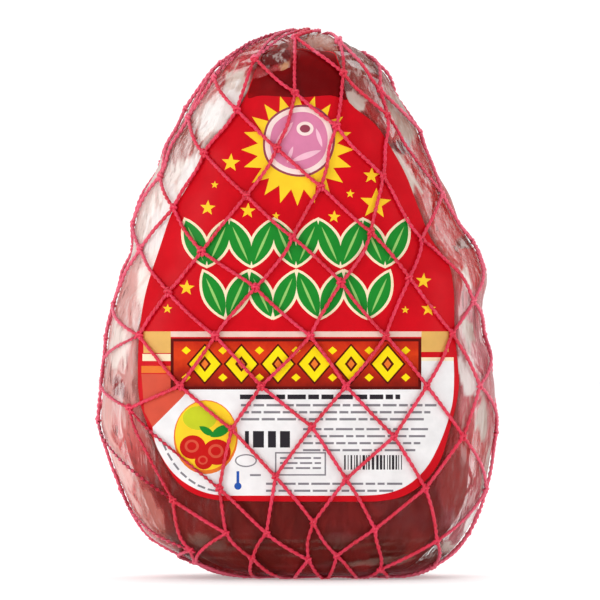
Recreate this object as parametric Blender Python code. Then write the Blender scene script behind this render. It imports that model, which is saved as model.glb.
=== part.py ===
"""A cooked ham sealed in clear film, with a printed front label, in a knotted net closed by a metal clip.

Metres in Blender, +Z up, front towards -Y, origin on the floor under the middle of the net.
Sizes below are in millimetres. One smooth form carries everything: the film takes it as it is,
and the label and the net lie on it at their own clearances.
"""

import math

import bmesh
import bpy
import numpy as np
from mathutils import Matrix, Vector

MM = 0.001

# The filled bag, ring by ring from under the base to the gather behind the top: height of the
# ring, how far it reaches to the left, right, front and back of the upright axis, and how far its
# front is lifted and its back lowered.
BAG_RINGS = (
    (1.5, -12.0, 12.1, 0.1, 0.0, 0.0),
    (1.5, 24.0, 43.0, 22.0, 22.0, 0.0),
    (3.2, 34.0, 50.5, 28.0, 28.0, 0.0),
    (8.5, 45.6, 58.5, 33.0, 33.0, 0.0),
    (18.0, 61.0, 66.4, 36.5, 36.0, 0.0),
    (34.0, 69.2, 73.2, 38.5, 38.0, 0.0),
    (50.0, 75.2, 76.2, 39.8, 39.0, 0.0),
    (64.0, 78.8, 77.8, 40.2, 39.0, 0.0),
    (76.0, 78.0, 77.8, 40.3, 38.8, 0.0),
    (86.0, 76.8, 76.2, 40.2, 38.5, 0.0),
    (98.0, 75.4, 72.6, 39.8, 37.9, 0.0),
    (110.0, 72.4, 73.2, 39.3, 37.2, 0.0),
    (120.0, 69.8, 74.8, 38.7, 36.3, 0.0),
    (128.0, 66.8, 71.4, 38.2, 35.5, 0.0),
    (140.0, 65.2, 64.4, 37.0, 34.0, 0.0),
    (152.0, 62.4, 60.2, 35.3, 32.2, 0.0),
    (162.0, 56.8, 54.6, 33.8, 30.7, 0.0),
    (171.0, 53.6, 49.6, 32.2, 29.1, 0.0),
    (180.0, 47.6, 46.0, 30.0, 27.0, 0.0),
    (192.5, 40.8, 39.0, 25.0, 24.5, 1.0),
    (201.5, 33.5, 33.4, 18.5, 23.0, 5.0),
    (206.5, 23.0, 24.0, 8.5, 21.5, 9.0),
    (208.3, 11.0, 15.0, -1.5, 20.0, 9.5),
    (208.8, -2.0, 2.1, -10.8, 10.9, 0.0),
)

# How full the bag's section is, by height: the powers of its flattened oval across and in depth.
# Low down it is full. At the shoulders the film runs flat to thin margins beside the ham.
SECTION_POWERS = (
    (0.0, 2.6, 2.6),
    (100.0, 2.6, 2.6),
    (124.0, 2.75, 1.9),
    (150.0, 3.0, 1.3),
    (192.0, 3.0, 1.3),
    (205.0, 2.7, 2.0),
    (209.0, 2.6, 2.4),
)
BAG_COLUMNS = 48
BAG_ROW_STEP = 10.5

# The film's lengthwise creases down both sides: how deep, how many, how they lean and waver, how
# far round they start and end, and the distances from the base over which they set in.
CREASE_DEPTH = 1.6
CREASES_ROUND = 19
CREASE_LEAN = 0.055
CREASE_WAVE, CREASE_WAVE_SHIFT = 0.11, 9.0
CREASE_SIDES = (0.80, 0.98)
CREASE_START = (62.0, 95.0)

# The label: its half width at each height, from the folded-back tongue at the top down to the
# rounded lower corners. It is centred a little left of the axis.
LABEL_HALF_WIDTHS = (
    (210.5, 14.5),
    (198.8, 18.0),
    (192.0, 20.5),
    (183.2, 27.0),
    (170.8, 37.0),
    (157.2, 45.0),
    (146.0, 50.5),
    (131.6, 56.0),
    (114.8, 61.5),
    (98.0, 63.5),
    (81.2, 64.0),
    (70.0, 63.0),
    (58.8, 59.5),
    (45.2, 54.0),
    (37.2, 48.5),
    (32.4, 42.0),
    (29.6, 33.0),
)
LABEL_CENTRE = -0.4
LABEL_GAP = 0.52
LABEL_THICKNESS = 0.4
LABEL_COLUMNS = 18
LABEL_ROW_STEP = 9.0
LABEL_SPREAD = 68.0
LABEL_TOP_STEP = 2.6
LABEL_TOP = 190.0

# The net: a tube of diamond meshes, knotted, drawn together under the base and at the top.
MESHES_ROUND = 12
STRAND_LENGTH = 24.8
BASE_SLACK = 6.5
STRAND_WIDTH = 1.3
NET_THICKNESS = 1.2
KNOT_HALF_HEIGHT = 1.9
KNOT_HALF_WIDTH = 1.4
GATHER_KNOT_HALF_HEIGHT = 0.9
GATHER_KNOT_HALF_WIDTH = 0.7
NET_GAP_UNDER = 0.3
NET_GAP_BODY = 1.3
NET_LIFTS = (40.0, 62.0)  # from the base's pole, where the gap grows
BASE_GATHER_RADIUS = 7.0
TOP_GATHER_RADIUS = 7.0
TOP_ROW_CLEARANCE = 5.0
NET_LEAN = 0.012
STRAND_PARTS, TURNING_STRAND_PARTS = 2, 4
BASE_TURNS_WITHIN, TOP_TURNS_WITHIN = 78.0, 52.0

# The gathered end of the net leans to the back: y, height, radius and rise in degrees at each ring.
TAIL_X = 2.0
TAIL_RINGS = (
    (13.4, 210.6, 4.0, 44.0),
    (14.6, 211.8, 2.8, 40.0),
    (16.0, 212.8, 2.4, 30.0),
    (17.2, 213.4, 2.4, 20.0),
    (21.2, 214.9, 2.4, 20.0),
    (23.4, 215.7, 3.7, 20.0),
    (25.4, 216.4, 4.1, 20.0),
)
TAIL_END = (25.0, 216.2)
TAIL_PLEAT = 0.06
CLIP_Y, CLIP_HEIGHT, CLIP_RISE = 19.2, 214.15, 20.0
CLIP_INNER_RADIUS = 2.9
CLIP_WALL = 1.0
CLIP_WIDTH = 3.4
CLIP_BEVEL = 0.35
CLIP_SEGMENTS = 16

FINE_ROWS = 260
FINE_COLUMNS = 512


def clear_scene():
    for obj in list(bpy.data.objects):
        bpy.data.objects.remove(obj)


def monotone_slopes(at, values):
    """Slopes of a smooth curve through the values that never overshoots them."""
    secants = np.diff(values) / np.diff(at)
    slopes = np.zeros(len(values))
    for i in range(1, len(values) - 1):
        before, after = secants[i - 1], secants[i]
        if before * after > 0:
            slopes[i] = 2 * before * after / (before + after)
    slopes[0], slopes[-1] = secants[0], secants[-1]
    return slopes


def smooth_curve(at, values, where):
    """The curve through (at, values), read at the places in where."""
    at, values = np.asarray(at, float), np.asarray(values, float)
    slopes = monotone_slopes(at, values)
    where = np.clip(where, at[0], at[-1])
    i = np.clip(np.searchsorted(at, where, side="right") - 1, 0, len(at) - 2)
    span = at[i + 1] - at[i]
    t = (where - at[i]) / span
    start = (1 + 2 * t) * (1 - t) ** 2 * values[i] + t * (1 - t) ** 2 * span * slopes[i]
    end = t * t * (3 - 2 * t) * values[i + 1] + t * t * (t - 1) * span * slopes[i + 1]
    return start + end


def ease(low, high, value):
    """0 below low, 1 above high, and smooth between."""
    t = np.clip((value - low) / (high - low), 0.0, 1.0)
    return t * t * (3 - 2 * t)


class BagForm:
    """The smooth outer form of the filled bag.

    A point is named by u, its share of the way round from the middle of the front, rising to the
    right, and s, its distance in millimetres from the pole under the base along the mean outline.
    """

    def __init__(self, rings):
        rings = np.asarray(rings, float)
        height, left, right, front, back, lift = rings.T
        outline = np.stack([height, (left + right) / 2, (front + back) / 2], axis=1)
        steps = np.linalg.norm(np.diff(outline[:, :2], axis=0), axis=1)
        self.at = np.concatenate([[0.0], np.cumsum(steps)])
        self.length = self.at[-1]
        self.rows = np.linspace(0.0, self.length, FINE_ROWS)
        self.height = smooth_curve(self.at, height, self.rows)
        self.middle_x = smooth_curve(self.at, (right - left) / 2, self.rows)
        self.middle_y = smooth_curve(self.at, (back - front) / 2, self.rows)
        self.half_x = smooth_curve(self.at, (right + left) / 2, self.rows)
        self.half_y = smooth_curve(self.at, (back + front) / 2, self.rows)
        self.lift = smooth_curve(self.at, lift, self.rows)
        heights, across, deep = np.array(SECTION_POWERS).T
        self.power_x = smooth_curve(heights, across, self.height)
        self.power_y = smooth_curve(heights, deep, self.height)
        self.build_grid()

    def build_grid(self):
        """Points at even steps round each ring, with the ring's girth and the outward normals."""
        turn = np.linspace(0.0, 1.0, 4 * FINE_COLUMNS + 1) * math.tau - math.pi / 2
        cos, sin = np.cos(turn), np.sin(turn)
        shares = np.linspace(0.0, 1.0, FINE_COLUMNS + 1)
        self.grid = np.empty((FINE_ROWS, FINE_COLUMNS + 1, 3))
        self.girth = np.empty(FINE_ROWS)
        for i in range(FINE_ROWS):
            unit_x = np.sign(cos) * np.abs(cos) ** (2 / self.power_x[i])
            unit_y = np.sign(sin) * np.abs(sin) ** (2 / self.power_y[i])
            x = self.middle_x[i] + self.half_x[i] * unit_x
            y = self.middle_y[i] + self.half_y[i] * unit_y
            walked = np.concatenate([[0.0], np.cumsum(np.hypot(np.diff(x), np.diff(y)))])
            self.girth[i] = walked[-1]
            at = shares * walked[-1]
            self.grid[i, :, 0] = np.interp(at, walked, x)
            self.grid[i, :, 1] = np.interp(at, walked, y)
            z = self.height[i] - self.lift[i] * unit_y
            self.grid[i, :, 2] = np.interp(at, walked, z)
        along = np.gradient(self.grid, axis=0)
        ring = self.grid[:, :-1]
        round_it = np.roll(ring, -1, axis=1) - np.roll(ring, 1, axis=1)
        round_it = np.concatenate([round_it, round_it[:, :1]], axis=1)
        normals = np.cross(round_it, along)
        length = np.linalg.norm(normals, axis=2, keepdims=True)
        self.normals = normals / np.maximum(length, 1e-12)
        for pole, neighbour in ((0, 1), (-1, -2)):
            mean = self.normals[neighbour, :-1].mean(axis=0)
            self.normals[pole] = mean / np.linalg.norm(mean)

    def read(self, table, u, s):
        row = np.clip(s / self.length, 0.0, 1.0) * (FINE_ROWS - 1)
        column = (u % 1.0) * FINE_COLUMNS
        i = min(int(row), FINE_ROWS - 2)
        j = min(int(column), FINE_COLUMNS - 1)
        a, b = row - i, column - j
        low = table[i, j] * (1 - b) + table[i, j + 1] * b
        high = table[i + 1, j] * (1 - b) + table[i + 1, j + 1] * b
        return low * (1 - a) + high * a

    def point(self, u, s, out=0.0):
        """The point at (u, s), lifted outwards, as a Blender vector in metres."""
        normal = self.read(self.normals, u, s)
        normal = normal / max(np.linalg.norm(normal), 1e-12)
        return Vector((self.read(self.grid, u, s) + out * normal) * MM)

    def girth_at(self, s):
        return float(np.interp(s, self.rows, self.girth))

    def half_width_at(self, s):
        return float(np.interp(s, self.rows, self.half_x))

    def front(self, x, height):
        """How far forward the front lies at (x, height): its y."""
        share = np.abs(x - self.middle_x) / self.half_x
        kept = share < 0.999
        forward = (1 - share[kept] ** self.power_x[kept]) ** (1 / self.power_y[kept])
        y = self.middle_y[kept] - self.half_y[kept] * forward
        z = self.height[kept] + self.lift[kept] * forward
        crest = int(np.argmax(z)) + 1
        return float(np.interp(height, z[:crest], y[:crest]))

    def front_point(self, x, height, out):
        """The point of the front at (x, height), lifted outwards."""
        step = 0.4
        slope_x = (self.front(x + step, height) - self.front(x - step, height)) / (2 * step)
        slope_z = (self.front(x, height + step) - self.front(x, height - step)) / (2 * step)
        normal = np.array([slope_x, -1.0, slope_z])
        normal /= np.linalg.norm(normal)
        place = np.array([x, self.front(x, height), height])
        return Vector((place + out * normal) * MM)


def new_object(name, mesh, colour, roughness, metallic=0.0):
    """An object with its own Principled material."""
    obj = bpy.data.objects.new(name, mesh)
    bpy.context.scene.collection.objects.link(obj)
    material = bpy.data.materials.new(name)
    material.use_nodes = True
    shader = material.node_tree.nodes["Principled BSDF"]
    shader.inputs["Base Color"].default_value = (*colour, 1.0)
    shader.inputs["Roughness"].default_value = roughness
    shader.inputs["Metallic"].default_value = metallic
    material.diffuse_color = (*colour, 1.0)
    mesh.materials.append(material)
    return obj


def mesh_from(bm, name, smooth_angle=None):
    """A mesh from the bmesh, its faces turned outwards."""
    bmesh.ops.recalc_face_normals(bm, faces=bm.faces)
    mesh = bpy.data.meshes.new(name)
    bm.to_mesh(mesh)
    bm.free()
    if smooth_angle:
        mesh.shade_smooth()
        mesh.set_sharp_from_angle(angle=smooth_angle)
    return mesh


def crease(u, s):
    """How far the film draws in at a crease: lengthwise folds down both sides, none elsewhere."""
    side = abs(math.sin(math.tau * u))
    near_side = float(ease(*CREASE_SIDES, side))
    fold = math.sin(math.tau * CREASES_ROUND * u + CREASE_LEAN * s)
    fold *= math.cos(CREASE_WAVE * s + CREASE_WAVE_SHIFT * u)
    clear_of_base = float(ease(*CREASE_START, s))
    return CREASE_DEPTH * near_side * clear_of_base * (0.5 + 0.5 * fold)


def build_bag(form):
    """The ham and its film as one solid: rings of points from pole to pole."""
    bm = bmesh.new()
    rows = round(form.length / BAG_ROW_STEP)
    rings = []
    for i in range(1, rows):
        s = form.length * i / rows
        ring = []
        for j in range(BAG_COLUMNS):
            u = j / BAG_COLUMNS
            ring.append(bm.verts.new(form.point(u, s, -crease(u, s))))
        rings.append(ring)
    for low, high in zip(rings, rings[1:]):
        for j in range(BAG_COLUMNS):
            k = (j + 1) % BAG_COLUMNS
            bm.faces.new((low[j], low[k], high[k], high[j]))
    for ring, pole_s in ((rings[0], 0.0), (rings[-1], form.length)):
        pole = bm.verts.new(form.point(0.0, pole_s))
        for j in range(BAG_COLUMNS):
            bm.faces.new((ring[j], ring[(j + 1) % BAG_COLUMNS], pole))
    mesh = mesh_from(bm, "sealed_ham", math.radians(50))
    return new_object("sealed_ham", mesh, (0.42, 0.14, 0.10), 0.25)


def sheet_solid(points, faces, name, smooth_angle=None, extra=None):
    """A closed thin solid. points gives each key its (outer, inner) places, faces the outer faces.

    Every edge that only one face uses gets a wall between the two layers. extra holds points of
    the outer layer only, and the faces that only the outer or only the inner layer has.
    """
    outer_points, outer_faces, inner_faces = extra or ({}, [], [])
    bm = bmesh.new()
    outer = {key: bm.verts.new(pair[0]) for key, pair in points.items()}
    inner = {key: bm.verts.new(pair[1]) for key, pair in points.items()}
    outer.update({key: bm.verts.new(place) for key, place in outer_points.items()})
    for face in faces + outer_faces:
        bm.faces.new([outer[key] for key in face])
    uses = {}
    for face in faces + inner_faces:
        bm.faces.new([inner[key] for key in reversed(face)])
        for a, b in zip(face, face[1:] + face[:1]):
            uses.setdefault(frozenset((a, b)), []).append((a, b))
    for directions in uses.values():
        if len(directions) == 1:
            a, b = directions[0]
            bm.faces.new((outer[b], outer[a], inner[a], inner[b]))
    return mesh_from(bm, name, smooth_angle)


def label_rows():
    """(height, half width) of the label's rows, bottom to top, closer where its edge turns."""
    stations = sorted(LABEL_HALF_WIDTHS)
    heights = [h for h, _ in stations]
    widths = [w for _, w in stations]
    found = []
    for low, high in zip(heights, heights[1:]):
        step = LABEL_TOP_STEP if low > LABEL_TOP else LABEL_ROW_STEP
        parts = max(1, round((high - low) / step))
        found += [low + (high - low) * k / parts for k in range(parts)]
    found.append(heights[-1])
    return [(h, float(smooth_curve(heights, widths, h))) for h in found]


def label_share(column):
    """Where a column lies across the label, from -1 to 1, closer together at the curved edges."""
    turn = (2 * column / LABEL_COLUMNS - 1) * math.radians(LABEL_SPREAD)
    return math.sin(turn) / math.sin(math.radians(LABEL_SPREAD))


def build_label(form):
    """The printed label, lying on the front of the bag and bent back over its top."""
    points, faces = {}, []
    rows = label_rows()
    for i, (height, half) in enumerate(rows):
        for j in range(LABEL_COLUMNS + 1):
            x = LABEL_CENTRE + half * label_share(j)
            points[i, j] = (
                form.front_point(x, height, LABEL_GAP + LABEL_THICKNESS),
                form.front_point(x, height, LABEL_GAP),
            )
    for i in range(len(rows) - 1):
        for j in range(LABEL_COLUMNS):
            faces.append([(i, j), (i, j + 1), (i + 1, j + 1), (i + 1, j)])
    mesh = sheet_solid(points, faces, "label", math.radians(40))
    return new_object("label", mesh, (0.72, 0.01, 0.02), 0.3)


def net_rows(form):
    """Where the rows of knots lie. Each strand keeps its length, so meshes stand tall where the
    bag is slim and open out where it is wide."""
    low = float(np.interp(BASE_GATHER_RADIUS, form.half_x[: FINE_ROWS // 4],
                          form.rows[: FINE_ROWS // 4]))
    s, rows = low, [low]
    while True:
        half_mesh = form.girth_at(s) / (2 * MESHES_ROUND)
        s += math.sqrt(STRAND_LENGTH**2 - half_mesh**2)
        if len(rows) == 1:
            s -= BASE_SLACK
        slim = form.half_width_at(s) < TOP_GATHER_RADIUS + TOP_ROW_CLEARANCE
        if slim and s > form.length / 2:
            break
        rows.append(s)
    top = float(np.interp(-TOP_GATHER_RADIUS, -form.half_x[FINE_ROWS // 2:],
                          form.rows[FINE_ROWS // 2:]))
    rows.append(top)
    return rows


def net_gap(s):
    """Clearance of the net over the bag: close under the base, clear of the label elsewhere."""
    return NET_GAP_UNDER + (NET_GAP_BODY - NET_GAP_UNDER) * float(ease(*NET_LIFTS, s))


class NetBuilder:
    """Gathers the points and faces of the net on the bag's form."""

    def __init__(self, form):
        self.form = form
        self.points = {}
        self.faces = []

    def place(self, key, u, s):
        gap = net_gap(s)
        self.points[key] = (
            self.form.point(u, s, gap + NET_THICKNESS),
            self.form.point(u, s, gap),
        )

    def knot(self, row, column, u, s, half_height, half_width):
        """A diamond whose four edges each take one strand. The corners are its compass points."""
        sideways = half_width / self.form.girth_at(s)
        self.place((row, column, "N"), u, s + half_height)
        self.place((row, column, "S"), u, s - half_height)
        self.place((row, column, "E"), u + sideways, s)
        self.place((row, column, "W"), u - sideways, s)

    def strand(self, low, high, start, end, parts, name):
        """A strip from the knot edge low to the knot edge high, each (left key, right key)."""
        (u0, s0), (u1, s1) = start, end
        before = low
        for k in range(1, parts):
            t = k / parts
            u, s = u0 + (u1 - u0) * t, s0 + (s1 - s0) * t
            girth = self.form.girth_at(s)
            across, along = (u1 - u0) * girth, s1 - s0
            length = math.hypot(across, along)
            side_u = along / length * STRAND_WIDTH / 2 / girth
            side_s = -across / length * STRAND_WIDTH / 2
            left, right = (*name, k, "L"), (*name, k, "R")
            self.place(left, u - side_u, s - side_s)
            self.place(right, u + side_u, s + side_s)
            self.faces.append([before[0], before[1], right, left])
            before = (left, right)
        self.faces.append([before[0], before[1], high[1], high[0]])

    def fan(self, row, pole_s, side):
        """The faces from the pole to the outer corners of its ring of knots."""
        self.place(("pole", row), 0.0, pole_s)
        found = []
        for j in range(MESHES_ROUND):
            next_knot = (row, (j + 1) % MESHES_ROUND, "W")
            corners = [(row, j, "W"), (row, j, side), (row, j, "E"), next_knot]
            for a, b in zip(corners, corners[1:]):
                found.append([a, b, ("pole", row)])
        return found

    def tail(self, row):
        """The gathered end: pleated rings from the last knots to a blunt cut end."""
        right, rise = Vector((1, 0, 0)), math.radians(TAIL_RINGS[0][3])
        up = Vector((0, -math.sin(rise), math.cos(rise)))
        start = self.points["pole", row][0]
        ring = [(row, j, side) for j in range(MESHES_ROUND) for side in ("W", "E")]
        angles = []
        for key in ring:
            offset = self.points[key][0] - start
            angles.append(math.atan2(offset.dot(up), offset.dot(right)))
        points, faces = {}, []
        for j in range(MESHES_ROUND):
            faces.append([(row, j, "W"), (row, j, "S"), (row, j, "E")])
        for k, (y, height, radius, degrees) in enumerate(TAIL_RINGS):
            centre, rise = Vector((TAIL_X, y, height)), math.radians(degrees)
            up = Vector((0, -math.sin(rise), math.cos(rise)))
            new_ring = [("tail", k, i) for i in range(len(ring))]
            for i, (key, angle) in enumerate(zip(new_ring, angles)):
                reach = radius * (1 + TAIL_PLEAT * (-1) ** i)
                place = centre + reach * (right * math.cos(angle) + up * math.sin(angle))
                points[key] = place * MM
            for i in range(len(ring)):
                n = (i + 1) % len(ring)
                faces.append([ring[i], ring[n], new_ring[n], new_ring[i]])
            ring = new_ring
        for i in range(len(ring)):
            faces.append([ring[i], ring[(i + 1) % len(ring)], ("pole", row)])
        end = Vector((TAIL_X, *TAIL_END)) * MM
        self.points["pole", row] = (end, self.points["pole", row][1])
        return points, faces


def column_share(row, column, s, form):
    """The share of the way round of a knot. Every other row is set half a mesh aside, and the
    whole net leans a little, as it was pulled on."""
    lean = NET_LEAN * math.sin(math.pi * s / form.length)
    return (column + 0.5 * ((row + 1) % 2)) / MESHES_ROUND + lean


def strand_parts(form, low_s, high_s):
    """More steps where the net turns round the rim of the base or over the top."""
    middle = (low_s + high_s) / 2
    turning = middle < BASE_TURNS_WITHIN or middle > form.length - TOP_TURNS_WITHIN
    return TURNING_STRAND_PARTS if turning else STRAND_PARTS


def build_net(form):
    """The net: knots in staggered rows, four strands to a knot, closed at both ends."""
    net = NetBuilder(form)
    rows = net_rows(form)
    last = len(rows) - 1
    shares = [
        [column_share(i, j, s, form) for j in range(MESHES_ROUND)] for i, s in enumerate(rows)
    ]
    for i, s in enumerate(rows):
        small = i in (0, last)
        half_width = GATHER_KNOT_HALF_WIDTH if small else KNOT_HALF_WIDTH
        half_height = GATHER_KNOT_HALF_HEIGHT if small else KNOT_HALF_HEIGHT
        for j in range(MESHES_ROUND):
            net.knot(i, j, shares[i][j], s, half_height, half_width)
            if not small:
                net.faces.append([(i, j, "W"), (i, j, "S"), (i, j, "E"), (i, j, "N")])
    for i in range(last):
        parts = strand_parts(form, rows[i], rows[i + 1])
        for j in range(MESHES_ROUND):
            u = shares[i][j]
            for lean_right in (True, False):
                if lean_right:
                    k = (j + (i + 1) % 2) % MESHES_ROUND
                    low, high = ("N", "E"), ("W", "S")
                else:
                    k = (j - i % 2) % MESHES_ROUND
                    low, high = ("W", "N"), ("S", "E")
                other = shares[i + 1][k]
                other += round(u - other)
                net.strand(
                    [(i, j, low[0]), (i, j, low[1])],
                    [(i + 1, k, high[0]), (i + 1, k, high[1])],
                    (u, rows[i] + KNOT_HALF_HEIGHT / 2),
                    (other, rows[i + 1] - KNOT_HALF_HEIGHT / 2),
                    parts,
                    (i, j, lean_right),
                )
    net.faces += net.fan(0, 0.0, "N")
    inner_faces = net.fan(last, form.length, "S")
    outer_points, outer_faces = net.tail(last)
    for j in range(MESHES_ROUND):
        del net.points[0, j, "S"]
        del net.points[last, j, "N"]
    extra = (outer_points, outer_faces, inner_faces)
    mesh = sheet_solid(net.points, net.faces, "net", extra=extra)
    return new_object("net", mesh, (0.75, 0.02, 0.09), 0.4)


def build_clip():
    """The crimped metal band round the tail: a ring of eight-cornered section."""
    inner, outer = CLIP_INNER_RADIUS, CLIP_INNER_RADIUS + CLIP_WALL
    half = CLIP_WIDTH / 2
    section = (
        (inner, CLIP_BEVEL - half),
        (inner + CLIP_BEVEL, -half),
        (outer - CLIP_BEVEL, -half),
        (outer, CLIP_BEVEL - half),
        (outer, half - CLIP_BEVEL),
        (outer - CLIP_BEVEL, half),
        (inner + CLIP_BEVEL, half),
        (inner, half - CLIP_BEVEL),
    )
    rise = math.radians(CLIP_RISE)
    along = Vector((0, math.cos(rise), math.sin(rise)))
    up = Vector((0, -math.sin(rise), math.cos(rise)))
    centre = Vector((TAIL_X, CLIP_Y, CLIP_HEIGHT))
    bm = bmesh.new()
    rings = []
    for i in range(CLIP_SEGMENTS):
        angle = math.tau * i / CLIP_SEGMENTS
        out = Vector((1, 0, 0)) * math.cos(angle) + up * math.sin(angle)
        rings.append([bm.verts.new((centre + out * r + along * a) * MM) for r, a in section])
    for ring, following in zip(rings, rings[1:] + rings[:1]):
        for j in range(len(section)):
            k = (j + 1) % len(section)
            bm.faces.new((ring[j], ring[k], following[k], following[j]))
    mesh = mesh_from(bm, "net_clip", math.radians(40))
    return new_object("net_clip", mesh, (0.75, 0.76, 0.78), 0.3, 1.0)


def centre_on_floor():
    """Sets everything over the origin, its lowest point on the floor."""
    meshes = [obj.data for obj in bpy.context.scene.objects]
    places = np.array([tuple(v.co) for mesh in meshes for v in mesh.vertices])
    low, high = places.min(axis=0), places.max(axis=0)
    shift = Vector((-(low[0] + high[0]) / 2, -(low[1] + high[1]) / 2, -low[2]))
    for mesh in meshes:
        mesh.transform(Matrix.Translation(shift))


def main():
    clear_scene()
    form = BagForm(BAG_RINGS)
    build_bag(form)
    build_label(form)
    build_net(form)
    build_clip()
    centre_on_floor()


main()
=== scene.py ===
"""The looks of a cooked ham in clear film, with a printed front label, inside a knotted red net.

Sizes are in millimetres until a mesh is made. Places on the printed label are pixels of the
600 x 600 photograph, at 0.4 mm each.
"""
import math

import bmesh
import bpy
import numpy as np
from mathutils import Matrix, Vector
from mathutils.geometry import delaunay_2d_cdt


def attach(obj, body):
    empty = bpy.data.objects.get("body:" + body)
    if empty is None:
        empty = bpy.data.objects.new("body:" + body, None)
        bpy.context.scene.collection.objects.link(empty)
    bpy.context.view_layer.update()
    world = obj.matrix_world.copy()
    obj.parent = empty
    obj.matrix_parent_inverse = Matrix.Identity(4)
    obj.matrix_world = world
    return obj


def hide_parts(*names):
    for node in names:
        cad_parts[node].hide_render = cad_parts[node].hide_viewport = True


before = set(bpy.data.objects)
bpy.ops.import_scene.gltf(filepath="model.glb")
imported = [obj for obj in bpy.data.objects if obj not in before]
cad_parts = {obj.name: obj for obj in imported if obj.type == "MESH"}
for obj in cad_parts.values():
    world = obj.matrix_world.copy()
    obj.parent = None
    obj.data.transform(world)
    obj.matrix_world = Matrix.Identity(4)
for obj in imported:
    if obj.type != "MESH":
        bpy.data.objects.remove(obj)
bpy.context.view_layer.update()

MM = 0.001
TINY = 1e-12

# The photograph: the size of a pixel, the column of the object's axis, the row of the floor, the
# middle row and column, and the camera's distance.
PIXEL = 0.4
PHOTO_AXIS_X, PHOTO_FLOOR_Y, PHOTO_MIDDLE = 299.0, 577.0, 300.0
VIEW_DISTANCE = 2400.0

# The filled bag, as in the part's source: height, then reach to the left, right, front and back,
# and how far the ring's front is lifted. The part was centred on its box by this shift.
BAG_RINGS = (
    (1.5, -12, 12.1, 0.1, 0, 0), (1.5, 24, 43, 22, 22, 0), (3.2, 34, 50.5, 28, 28, 0),
    (8.5, 45.6, 58.5, 33, 33, 0), (18, 61, 66.4, 36.5, 36, 0), (34, 69.2, 73.2, 38.5, 38, 0),
    (50, 75.2, 76.2, 39.8, 39, 0), (64, 78.8, 77.8, 40.2, 39, 0), (76, 78, 77.8, 40.3, 38.8, 0),
    (86, 76.8, 76.2, 40.2, 38.5, 0), (98, 75.4, 72.6, 39.8, 37.9, 0),
    (110, 72.4, 73.2, 39.3, 37.2, 0), (120, 69.8, 74.8, 38.7, 36.3, 0),
    (128, 66.8, 71.4, 38.2, 35.5, 0), (140, 65.2, 64.4, 37, 34, 0),
    (152, 62.4, 60.2, 35.3, 32.2, 0), (162, 56.8, 54.6, 33.8, 30.7, 0),
    (171, 53.6, 49.6, 32.2, 29.1, 0), (180, 47.6, 46, 30, 27, 0), (192.5, 40.8, 39, 25, 24.5, 1),
    (201.5, 33.5, 33.4, 18.5, 23, 5), (206.5, 23, 24, 8.5, 21.5, 9), (208.3, 11, 15, -1.5, 20, 9.5),
    (208.8, -2, 2.1, -10.8, 10.9, 0),
)
SHIFT = np.array([0.40, 0.60, 0.0])

# How full the bag's section is, by height: the powers of its flattened oval across and in depth.
# Low down it is full. At the shoulders the film runs flat to thin margins beside the ham.
SECTION_POWERS = (
    (0, 2.6, 2.6), (100, 2.6, 2.6), (124, 2.75, 1.9), (150, 3, 1.3), (192, 3, 1.3), (205, 2.7, 2),
    (209, 2.6, 2.4),
)

# The tables that hold the form: rows and columns of the grid, steps round a ring when it is
# measured, and the reach and step of the table of the front.
FINE_ROWS, FINE_COLUMNS, RING_STEPS = 300, 640, 2560
FRONT_REACH, FRONT_LOW, FRONT_HIGH, FRONT_STEP, SLOPE_STEP = 74.0, 2.0, 216.0, 0.5, 0.8


# Numbers and noise

def monotone_slopes(at, values):
    """Slopes of a smooth curve through the values that never overshoots them."""
    secants = np.diff(values) / np.diff(at)
    slopes = np.zeros(len(values))
    for i in range(1, len(values) - 1):
        before, after = secants[i - 1], secants[i]
        if before * after > 0:
            slopes[i] = 2 * before * after / (before + after)
    slopes[0], slopes[-1] = secants[0], secants[-1]
    return slopes


def smooth_curve(at, values, where):
    """The curve through (at, values), read at the places in where."""
    at, values = np.asarray(at, float), np.asarray(values, float)
    slopes = monotone_slopes(at, values)
    where = np.clip(where, at[0], at[-1])
    i = np.clip(np.searchsorted(at, where, side="right") - 1, 0, len(at) - 2)
    span = at[i + 1] - at[i]
    t = (where - at[i]) / span
    start = (1 + 2 * t) * (1 - t) ** 2 * values[i] + t * (1 - t) ** 2 * span * slopes[i]
    end = t * t * (3 - 2 * t) * values[i + 1] + t * t * (t - 1) * span * slopes[i + 1]
    return start + end


def ease(low, high, value):
    """0 below low, 1 above high, and smooth between."""
    t = np.clip((np.asarray(value, float) - low) / (high - low), 0.0, 1.0)
    return t * t * (3 - 2 * t)


def unit(vectors):
    """The vectors, brought to a length of 1."""
    return vectors / np.maximum(np.linalg.norm(vectors, axis=-1, keepdims=True), TINY)


def walked(*axes):
    """How far along a line each of its points lies, from a table for each axis."""
    steps = np.sqrt(sum(np.diff(axis) ** 2 for axis in axes))
    return np.concatenate([[0.0], np.cumsum(steps)])


def bilinear(table, row, column):
    """The table read between its rows and columns."""
    i = np.minimum(row.astype(int), table.shape[0] - 2)
    j = np.minimum(column.astype(int), table.shape[1] - 2)
    shape = (-1,) + (1,) * (table.ndim - 2)
    a, b = (row - i).reshape(shape), (column - j).reshape(shape)
    low = table[i, j] * (1 - b) + table[i, j + 1] * b
    high = table[i + 1, j] * (1 - b) + table[i + 1, j + 1] * b
    return low * (1 - a) + high * a


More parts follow.
